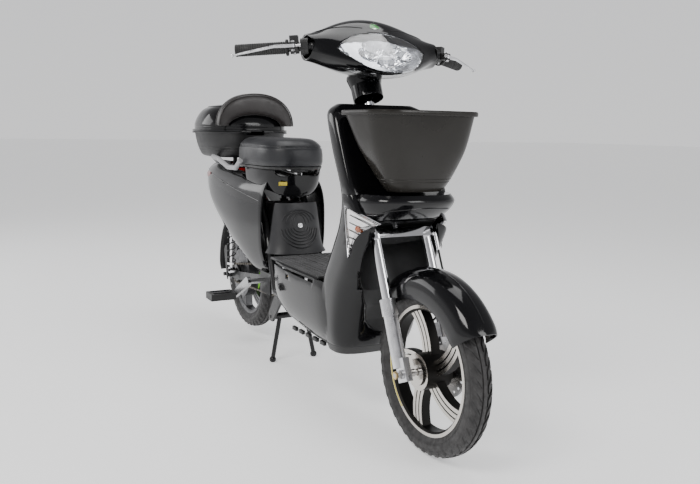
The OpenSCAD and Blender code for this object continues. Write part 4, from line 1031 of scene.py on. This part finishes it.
def seat():
    rows = [(676.2, -476, -108, 112, 3.2), (684, -482, -101, 116, 3.1), (698, -484, -98, 119, 3),
            (720, -483.4, -99, 119, 3),
            (740, -480, -104, 116, 3), (752, -476, -112, 110, 2.9), (764, -468, -126, 98,
                                                                     2.8), (771, -460, -144, 84, 2.7),
            (775, -448, -170, 62, 2.5)]
    rings = []
    for z, x0, x1, ry, e in smooth_rows(rows, 4):
        ring = level_ring(z, x0, x1, ry, e, n=144)
        # Front rises to a soft nose and the middle dips where the rider sits
        f = (ring[:, 0] + 290) / 190
        ring[:, 2] -= np.clip((z - 735) / 40, 0, 1) * (5.0 * np.exp(-(f * 1.4) ** 2)
                                                       * (1 - (ring[:, 1] / 125) ** 2))
        rings.append(ring)
    rings.append(np.stack([rings[-1][:, 0] * 0.5 - 155, rings[-1][:, 1] * 0.5, rings[-1][:, 2] + 0.6], 1))
    rings.append(np.stack([rings[-1][:, 0] * 0.12 - 273, rings[-1][:, 1] * 0.1, rings[-1][:, 2] + 0.1], 1))
    pad = loft("seat_pad", rings)
    subdivide(pad, 1)
    mesh = pad.data
    # Sewn channel round the crown, dimples and slack folds between stitches
    for v in mesh.vertices:
        x, y, z = v.co.x * 1000, v.co.y * 1000, v.co.z * 1000
        if z < 682:
            continue
        groove = math.exp(-((z - 741) / 2.6) ** 2) * 2.2
        ripple = 0.55 * noise.noise(Vector((x * 0.02, y * 0.02, z * 0.05))) \
            + 0.35 * noise.noise(Vector((x * 0.09, y * 0.09, z * 0.02))) * math.exp(-((z - 752) / 14) ** 2)
        out = Vector((x + 290, y * 1.6, 0))
        if out.length > 1:
            out.normalize()
        side = min(1, max(0, (768 - z) / 24))
        v.co += out * MM * (-groove + ripple * 0.9 - 0.6) * side
        v.co.z += MM * ((1 - side) * (ripple * 0.8 - 0.6))
    mesh.update()
    finish_piece(pad, "seat", "seat_vinyl", "seat_vinyl", "seat_cushion", angle=60)
    path = level_ring(743.5, -479.6, -105.6, 114.6, 3, n=160)
    stitches = []
    for k in range(0, 160, 2):
        a, b = path[k], path[(k + 1) % 160]
        stitches.append(tube("stitch", [a, (a + b) / 2, b], 0.55, 6, 1))
    finish_piece(join("seat_stitches", stitches), "seat", "seat_vinyl", "seat_vinyl")


fenders()
seat()
def arch_outline(rx, rz, drop, n=48):
    """Upper half of a superellipse, from right to left, above the lid."""
    return [(rx * bend(math.cos(t), 2.2), 810 - drop + rz * bend(math.sin(t), 2.2))
            for t in np.linspace(0, math.pi, n)]


def backrest():
    n = 56
    outer = np.array(arch_outline(149, 121, 0, n))
    inner = np.array(arch_outline(113, 61, 20, n))
    mid = (outer + inner) / 2
    sections = []
    # Round padded section along the crescent; its two ends stand on the lid
    for k in range(n):
        half = (outer[k] - inner[k]) / 2
        ring = []
        for i in range(32):
            a = 2 * math.pi * i / 32
            c, s = bend(math.cos(a), 3.4), bend(math.sin(a), 2.6)
            p = mid[k] + half * c
            ring.append((-533 + 22.4 * s, p[0], p[1]))
        sections.append(np.array(ring))
    pad = loft("backrest_cushion", sections)
    subdivide(pad, 1)
    for v in pad.data.vertices:
        p = v.co * 1000
        ripple = noise.noise(Vector((p.y * 0.02, p.z * 0.02,
                                     7))) * 1.0 + noise.noise(Vector((p.y * 0.07, p.z * 0.07, 3))) * 0.5
        v.co.x += MM * ripple * (0.9 if p.x > -533 else -0.9)
    boolean(pad, box_object((-600, -200, 700), (-480, 200, 810.2)))
    finish_piece(pad, "trunk_lid", "backrest_vinyl", "backrest_vinyl", "backrest_pad", angle=60)
    piping = []
    for x in (-512.6, -553.4):
        piping.append(tube("piping", [(x, y, z) for y, z in outer * (0.985, 1) + (0, -1.6)], 2.3, 10, 2))
    cuts = join("backrest_piping", piping)
    boolean(cuts, box_object((-600, -200, 700), (-480, 200, 811)))
    finish_piece(cuts, "trunk_lid", "backrest_vinyl", "backrest_vinyl")


def lid():
    rows = smooth_rows([(788.6, -3), (796, -3), (838, -16), (870, -38), (888, -72), (893.6, -110)], 6)
    outer = [trunk_ring(788.7, -1), trunk_ring(789.4, 0), trunk_ring(795.2, 0), trunk_ring(796.2, -1.2),
             trunk_ring(796.6, -8)]
    outer += [trunk_ring(z, min(g, -8.4)) for z, g in rows if z > 799]
    outer += [trunk_ring(894.8, -128), trunk_ring(895.2, -160)]
    inner = [trunk_ring(z, g) for z, g in smooth_rows([(892, -150), (891, -114), (885, -76), (868, -42),
                                                       (838, -20),
                                                      (788.7, -12)], 5)]
    shell = loft("trunk_lid_shell", outer[::-1] + inner[::-1])
    relief = [turned("relief", [(0, -21), (6.1, -21), (6.1, 21), (0, 21)], (-509.84, s * 45, 788), (0, 1, 0), 32)
              for s in (-1, 1)]
    for cutter in relief:
        boolean(shell, cutter)
    boolean(shell, grown_arch(0.4))
    finish_piece(shell, "trunk_lid", "gloss_black", "gloss_black")
    ridge = [tube("ridge", trunk_ring(z, g, 72), 1.6, 8, 1, True) for z, g in ((806, -9.4), (884.6, -61))]
    joined = join("trunk_lid_ridges", ridge)
    boolean(joined, grown_arch(0.6))
    finish_piece(joined, "trunk_lid", "gloss_black", "gloss_black")


def grown_arch(grow):
    outer = arch_outline(150 + grow, 122 + grow, 0, 40)
    inner = arch_outline(112 - grow, 60 - grow, 20, 40)[::-1]
    ring = lambda x: np.array([(x, y, z) for y, z in outer + inner])
    return loft("arch", [ring(-556 - grow), ring(-510 + grow)])


def hinge_knuckles():
    """Barrels, leaves and pins of the trunk hinge: the tub's and the lid's."""
    for body, spots, z0, name in (("frame", (-36, 36), 782.5, "tub"), ("trunk_lid", (-54.6, 54.6), 789.5, "lid")):
        made = []
        for y in spots:
            barrel = turned("barrel", [(2.7, -9), (4.9, -9), (5.5, -8.4), (5.5, 8.4), (4.9, 9), (2.7, 9)],
                            (-509.84, y, 788),
                            (0, 1, 0), 32, True)
            leaf = box_object((-523.8, y - 9, z0), (-511, y + 9, z0 + 4))
            bevel(leaf, 0.5)
            made += [barrel, leaf]
            if name == "tub":
                y0, y1 = sorted((y + math.copysign(10, y) - 20, y + math.copysign(10, y) + 20))
                made.append(turned("pin", [(0, y0), (2.1, y0), (2.5, y0 + 0.4), (2.5, y1 - 0.4), (2.1, y1),
                                           (0, y1)],
                                   (-509.84, 0, 788), (0, 1, 0), 24))
        finish_piece(join(name + "_knuckles", made), body, "trim_black", "trim_black",
                     "trunk_tub" if name == "tub" else "trunk_lid")


def trunk_latch():
    """Pull and lock on the rear of the lid."""
    pull = box_object((-903, -26, 797), (-893, 26, 818))
    bevel(pull, 3, 3)
    finish_piece(pull, "trunk_lid", "trim_black", "gloss_black")
    lock = turned("trunk_lock", [(0, -1), (7, -1), (7, 1.6), (6, 2.4), (2, 2.4), (1.6, 1), (0, 1)],
                  (-903, 0, 807.5),
                  (-1, 0, 0), 28)
    finish_piece(lock, "trunk_lid", "steel", "steel")


backrest()
trunk()
lid()
hinge_knuckles()
trunk_latch()


# ---------------------------------------------------------------- tyres
def tyre(name, centre, body, node, rib_width):
    """Carcass with a bead, a central rib and slanted lugs; the widest and the outer radius are the CAD's."""
    section = [(RIM_R + 0.8, -16), (RIM_R + 1.2, -20), (RIM_R + 4, -22.6), (RIM_R + 8, -24.6), (RIM_R + 11, -27.4),
               (RIM_R + 18, -29.6), (RIM_R + 28, -30.8), (RIM_R + 38, -28), (RIM_R + 44, -23), (RIM_R + 47, -15),
               (RIM_R + 48.4, -7), (RIM_R + 48.8, 0)]
    section += [(r, -y) for r, y in section[-2::-1]]
    inside = [(RIM_R + 0.8, 13), (RIM_R + 6, 19), (RIM_R + 26, 26.5), (RIM_R + 40, 20), (RIM_R + 44, 0)]
    inside += [(r, -y) for r, y in inside[-2::-1]]
    carcass = turned(name + "_carcass", section + inside, centre, (0, 1, 0), 144, True)
    parts = [carcass]
    # Fine ribs on the sidewall
    for side in (-1, 1):
        for r, y in ((RIM_R + 14, 28.4), (RIM_R + 17, 29.4), (RIM_R + 33.5, 29.5)):
            parts.append(turned("rib", [(r - 1, side * (y - 1)), (r, side * (y + 0.5)), (r + 1, side * (y - 1))],
                                centre, (0, 1, 0), 144, True))
    rib = turned("rib", [(RIM_R + 46, -rib_width), (RIM_R + 51.4, -rib_width + 0.8), (TYRE_R, -rib_width + 2.4),
                         (TYRE_R, rib_width - 2.4), (RIM_R + 51.4, rib_width - 0.8), (RIM_R + 46, rib_width)],
                 centre, (0, 1, 0), 144, True)
    parts.append(rib)
    verts, faces = [], []
    count = 42

    def add(a, y, r):
        verts.append((centre[0] + r * math.cos(a), y, centre[2] + r * math.sin(a)))
    top_r = {0: TYRE_R - 0.2, 1: TYRE_R - 1.4, 2: TYRE_R - 5.0, 3: TYRE_R - 12.5}
    low_r = {0: RIM_R + 46.5, 1: RIM_R + 45.5, 2: RIM_R + 42, 3: RIM_R + 35}
    ys = {0: rib_width + 3.4, 1: 15, 2: 22.5, 3: 28.6}
    for k in range(count):
        for side in (-1, 1):
            base = 2 * math.pi * (k + (0.5 if side > 0 else 0)) / count
            start = len(verts)
            for j in range(4):
                lean = 0.5 * (ys[j] - 10) * math.pi / 180
                for edge in (-1, 1):
                    half_angle = (2.35 - 0.2 * j) * math.pi / 180 * edge
                    add(base + lean + half_angle * 1.12, side * ys[j], low_r[j])
                    add(base + lean + half_angle, side * ys[j], top_r[j])
            for j in range(3):
                a = start + 4 * j
                b = a + 4
                # low/top at the first edge are a, a+1; at the second edge a+2, a+3
                faces += [(a + 1, b + 1, b + 3, a + 3), (a, b, b + 1, a + 1), (a + 2, a + 3, b + 3, b + 2)]
            faces += [(start, start + 1, start + 3, start + 2),
                      (start + 12, start + 14, start + 15, start + 13)]
    lugs = make_object("lugs", verts, faces)
    fix_normals(lugs)
    bevel(lugs, 0.5, 1, 35)
    parts.append(lugs)
    joined = join(name, parts)
    finish_piece(joined, body, "tyre_rubber", "tyre_rubber", node, angle=38)


tyre("front_tread", (FRONT_X, 0, FRONT_Z), "front_wheel", "front_tyre", 5.5)
tyre("rear_tread", (REAR_X, 0, REAR_Z), "rear_wheel", "rear_tyre", 5.5)


# ---------------------------------------------------------------- handlebar pieces
def grips():
    for side, body, node, tag in ((1, "steering", "left_grip", "left"),
                                  (-1, "throttle", "throttle_grip", "right")):
        profile = [(11.06, 64), (20, 64.4), (21, 66), (21, 70), (19.4, 71), (14.6, 72)]
        for k in range(21):
            z = 74 + 5.8 * k
            profile += [(14.6, z), (15.9, z + 0.9), (15.9, z + 4.0), (14.6, z + 4.9)]
        profile += [(15.2, 196.5), (15.9, 198), (15.9, 201), (14.6, 203), (6, 203), (6, 199), (11.06, 199)]
        grip = turned(tag + "_hand_grip", profile, (0, 0, 0), (0, 0, 1), 48, True)
        place(grip, bar_matrix(side))
        fix_normals(grip)
        finish_piece(grip, body, "grip_rubber", "grip_rubber", node)


def bar_details():
    made = []
    for side in (1, -1):
        m = bar_matrix(side)
        for at, axis, radius in (((34, -9.6, 50), (0, -1, 0), 5.4), ((34, 9.6, 50), (0, 1, 0), 5.4)):
            bolt = turned("bolt", [(0, -1), (radius, -1), (radius, 2.4), (radius - 0.8, 3.2), (0, 3.2)], at,
                          axis, 6)
            place(bolt, m)
            fix_normals(bolt)
            made.append(bolt)
        pinch = turned("bolt", [(0, -2), (3.2, -2), (3.2, 2.2), (2.6, 3), (1.4, 3), (1.4, 1.4), (0, 1.4)],
                       (8, 17, 48), (0, 1, 0), 20)
        place(pinch, m)
        fix_normals(pinch)
        made.append(pinch)
        barrel = turned("barrel", [(1.6, 0), (4.2, 0), (4.2, 3), (3.4, 3.6), (3.4, 8), (4.4, 8.6), (4.4, 13),
                                   (1.6, 13)],
                        (38, 0, 41), (0.18, 0, -1), 20, True)
        place(barrel, m)
        fix_normals(barrel)
        made.append(barrel)
    finish_piece(join("perch_bolts", made), "steering", "steel", "steel")

    seams = []
    for side in (1, -1):
        ring = turned("seam", [(23.0, 21.6), (23.7, 22), (23.7, 22.6), (23.0, 23)], (0, 0, 0), (0, 0, 1), 40, True)
        boolean(ring, box_object((-21.4, -60, 0), (21.4, 60, 60)), "INTERSECT")
        place(ring, bar_matrix(side))
        fix_normals(ring)
        seams.append(ring)
    finish_piece(join("switch_seams", seams), "steering", "trim_black", "trim_black")


# ---------------------------------------------------------------- wheels, motor, springs, chain, mat and vent details
def wheel_details():
    # Yellow arc on the outer face of the front rim, right side
    arc = []
    for a in np.radians(np.linspace(150, 232, 40)):
        arc.append([(FRONT_X + r * math.cos(a), -21.7, FRONT_Z + r * math.sin(a)) for r in (157.2, 160.6)])
    stripe = grid("rim_arc", np.array(arc, float), 0.4)
    finish_piece(stripe, "front_wheel", "yellow", "wheel_alloy")
    for tag, x, z, body in (("front", FRONT_X, FRONT_Z, "front_wheel"), ("rear", REAR_X, REAR_Z, "rear_wheel")):
        stem = turned(tag + "_valve", [(0, -14), (3.2, -14), (3.2, -4), (2.6, 0), (2.6, 12), (2.2, 13),
                                       (2.2, 20), (1.6, 21), (0, 21)],
                      (x + 146 * math.cos(0.9), 0, z + 146
                       * math.sin(0.9)), (-math.cos(0.9), -0.35, -math.sin(0.9)), 20)
        finish_piece(stem, body, "brass", "steel")
    ring = turned("motor_band", [(91.9, -7.5), (92.7, -7), (92.7, -1.5), (91.9, -1)], (REAR_X, 0, REAR_Z),
                  (0, 1, 0), 96, True)
    finish_piece(ring, "rear_wheel", "green", "motor_alloy")
    # Bolts round the motor's cover
    bolts = []
    for k in range(8):
        a = 2 * math.pi * k / 8
        bolts.append(screw("bolt", (REAR_X + 74 * math.cos(a), -34.5, REAR_Z + 74 * math.sin(a)), (0, -1, 0),
                           3.6, 2))
    low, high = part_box("hub_motor")
    for b in bolts:
        b.data.transform(Matrix.Translation((0, min(0, low[1] + 0.0345 + 0.0005), 0)))
    finish_piece(join("motor_bolts", bolts), "rear_wheel", "steel", "motor_alloy")
    nuts = []
    for side in (-1, 1):
        low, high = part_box("front_axle")
        y = (high[1] if side > 0 else low[1]) * 1000
        nuts.append(turned("nut", [(0, -6), (10.5, -6), (10.5, -1), (9.3, 0.2), (5.6, 0.2), (5.6, -0.8),
                                   (0, -0.8)], (FRONT_X, y, FRONT_Z), (0, side, 0), 6))
    joined = join("front_axle_nuts", nuts)
    finish_piece(joined, "fork_lower", "brass", "steel")


def springs():
    """Shock springs as real coils between their seats."""
    low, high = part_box("shock_springs")
    z0, z1 = low[2] * 1000, high[2] * 1000
    for side, tag in ((-1, "right"), (1, "left")):
        turns, steps = 9, 22
        path = []
        for k in range(turns * steps + 1):
            f = k / (turns * steps)
            a = 2 * math.pi * turns * f
            z = z0 + 1.9 + (z1 - z0 - 3.8) * f
            path.append((-505 + 14.3 * math.cos(a), side * 107 + 14.3 * math.sin(a), z))
        coil = tube(tag + "_spring_coil", path, 1.95, 10, 1)
        finish_piece(coil, "frame", "spring_steel", "spring_steel", *(("shock_springs",) if side > 0 else ()))
        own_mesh(coil)


def chain():
    """Bush-roller chain on the pitch line of the CAD's band."""
    p0, r0 = np.array((CRANK_X, CRANK_Z), float), 54.0
    p1, r1 = np.array((REAR_X, REAR_Z), float), 36.0
    d = p1 - p0
    length = np.linalg.norm(d)
    base = math.atan2(d[1], d[0])
    off = math.acos((r0 - r1) / length)
    path = []
    a0, a1 = base + off, base + 2 * math.pi - off
    for a in np.linspace(a0, a1, 40):
        path.append(p0 + r0 * np.array((math.cos(a), math.sin(a))))
    for a in np.linspace(base - off, base + off, 30):
        path.append(p1 + r1 * np.array((math.cos(a), math.sin(a))))
    path = np.array(path)
    closed = np.vstack([path, path[:1]])
    seg = np.linalg.norm(np.diff(closed, axis=0), axis=1)
    s = np.concatenate([[0], np.cumsum(seg)])
    count = int(round(s[-1] / 12.7 / 2) * 2)
    at = lambda t: np.array([np.interp(t % s[-1], s, closed[:, k]) for k in (0, 1)])
    verts, faces = [], []

    def plate(a, b, y0, y1, wide):
        direction = (b - a) / np.linalg.norm(b - a)
        normal = np.array((-direction[1], direction[0]))
        outline = []
        for end, sign in ((a, -1), (b, 1)):
            for t in np.linspace(-80, 80, 5):
                t = math.radians(t)
                outline.append(end + direction * sign * 3.6 * math.cos(t) + normal * wide * math.sin(t) * sign)
        start = len(verts)
        n = len(outline)
        for y in (y0, y1):
            for p in outline:
                verts.append((p[0], y, p[1]))
        faces.append(tuple(start + i for i in range(n)))
        faces.append(tuple(start + n + i for i in range(n))[::-1])
        for i in range(n):
            faces.append((start + i, start + (i + 1) % n, start + n + (i + 1) % n, start + n + i))
    pitch = s[-1] / count
    for k in range(count):
        a, b = at(k * pitch), at((k + 1) * pitch)
        if k % 2:
            plate(a, b, -68, -67.2, 3.4)
            plate(a, b, -61.8, -61, 3.4)
        else:
            plate(a, b, -67.1, -66.3, 3.4)
            plate(a, b, -62.7, -61.9, 3.4)
    links = make_object("links", verts, faces)
    fix_normals(links)
    rollers = [turned("roller", [(0, -66.2), (3.2, -66.2), (3.2, -62.8), (0, -62.8)],
                      (at(k * pitch)[0], 0, at(k * pitch)[1]),
                      (0, 1, 0), 12) for k in range(count)]
    finish_piece(join("chain_links", [links] + rollers), "swing_arm", "chain_steel", "chain_steel", "drive_chain")


def mat_grooves():
    """Raised ribs along the foot mat."""
    low, high = (np.array(c) * 1000 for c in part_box("floor_mat"))
    ribs = []
    count = 17
    for k in range(count):
        y = low[1] + 10 + (high[1] - low[1] - 20) * k / (count - 1)
        rib = box_object((low[0] + 10, y - 2, high[2] - 0.6), (high[0] - 10, y + 2, high[2] + 1.2))
        bevel(rib, 0.5)
        ribs.append(rib)
    finish_piece(join("mat_ribs", ribs), "frame", "mat_rubber", "mat_rubber")


def side_details():
    """Slats inside the vents of the side covers."""
    slats = []
    for side in (-1, 1):
        for k in range(4):
            z = 392 + k * 13
            x = 496 - (z - 412) * 0.445
            slat = box_object((x - 4.2, min(side * 106, side * 128), z - 1.2),
                              (x + 4.2, max(side * 106, side * 128), z + 1.2))
            bevel(slat, 0.5)
            slats.append(slat)
    joined = join("vent_slats", slats)
    boolean(joined, boolean(front_form(1.2), belly_form(1.2), "UNION"), "INTERSECT")
    finish_piece(joined, "frame", "trim_black", "trim_black")


grips()
bar_details()
wheel_details()
springs()
chain()
mat_grooves()
side_details()


# ---------------------------------------------------------------- floor, world and lights
def stage_and_lights():
    mesh = bpy.data.meshes.new("floor")
    w = 45.0
    mesh.from_pydata([(-w, -w, 0), (w, -w, 0), (w, w, 0), (-w, w, 0)], [], [(0, 1, 2, 3)])
    floor = bpy.data.objects.new("floor", mesh)
    scene.collection.objects.link(floor)
    ground = Mat("floor_white", (0.93, 0.935, 0.94), 0.6, Emission_Color=(1, 1, 1, 1), Emission_Strength=0.5)
    ground.vary_rough(ground.noise(3, 3), 0.55, 0.66)
    mesh.materials.append(ground.m)

    world = bpy.data.worlds.new("studio")
    scene.world = world
    world.use_nodes = True
    tree = world.node_tree
    back = tree.nodes["Background"]
    sky = tree.nodes.new("ShaderNodeTexGradient")
    coord = tree.nodes.new("ShaderNodeTexCoord")
    split = tree.nodes.new("ShaderNodeSeparateXYZ")
    ramp = tree.nodes.new("ShaderNodeValToRGB")
    tree.nodes.remove(sky)
    tree.links.new(coord.outputs["Generated"], split.inputs[0])
    tree.links.new(split.outputs["Z"], ramp.inputs["Fac"])
    tree.links.new(ramp.outputs["Color"], back.inputs["Color"])
    elements = ramp.color_ramp.elements
    elements[0].position, elements[0].color = 0.0, (1.0, 1.0, 1.01, 1)
    elements[1].position, elements[1].color = 1.0, (0.22, 0.22, 0.23, 1)
    for position, value in ((0.2, 0.95), (0.42, 0.4)):
        e = elements.new(position)
        e.color = (value, value, value * 1.02, 1)
    back.inputs["Strength"].default_value = 0.95

    def area(name, at, target, size, power, color=(1, 1, 1)):
        data = bpy.data.lights.new(name, "AREA")
        data.shape, data.size, data.size_y = "RECTANGLE", size[0], size[1]
        data.energy, data.color = power, color
        light = bpy.data.objects.new(name, data)
        scene.collection.objects.link(light)
        light.location = at
        light.rotation_euler = (Vector(target) - Vector(at)).to_track_quat("-Z", "Y").to_euler()
    area("key", (1.5, -2.6, 3.2), (0.1, 0, 0.5), (1.6, 1.2), 75, (1, 0.985, 0.96))
    area("front", (3.4, 1.2, 2.2), (0.2, 0, 0.6), (1.2, 1.6), 40)
    area("fill", (-2.8, -2.4, 1.8), (0, 0, 0.4), (2.2, 1.4), 28)
    area("top", (-0.3, 0.3, 3.4), (0, 0, 0), (2.4, 1.6), 40)


stage_and_lights()
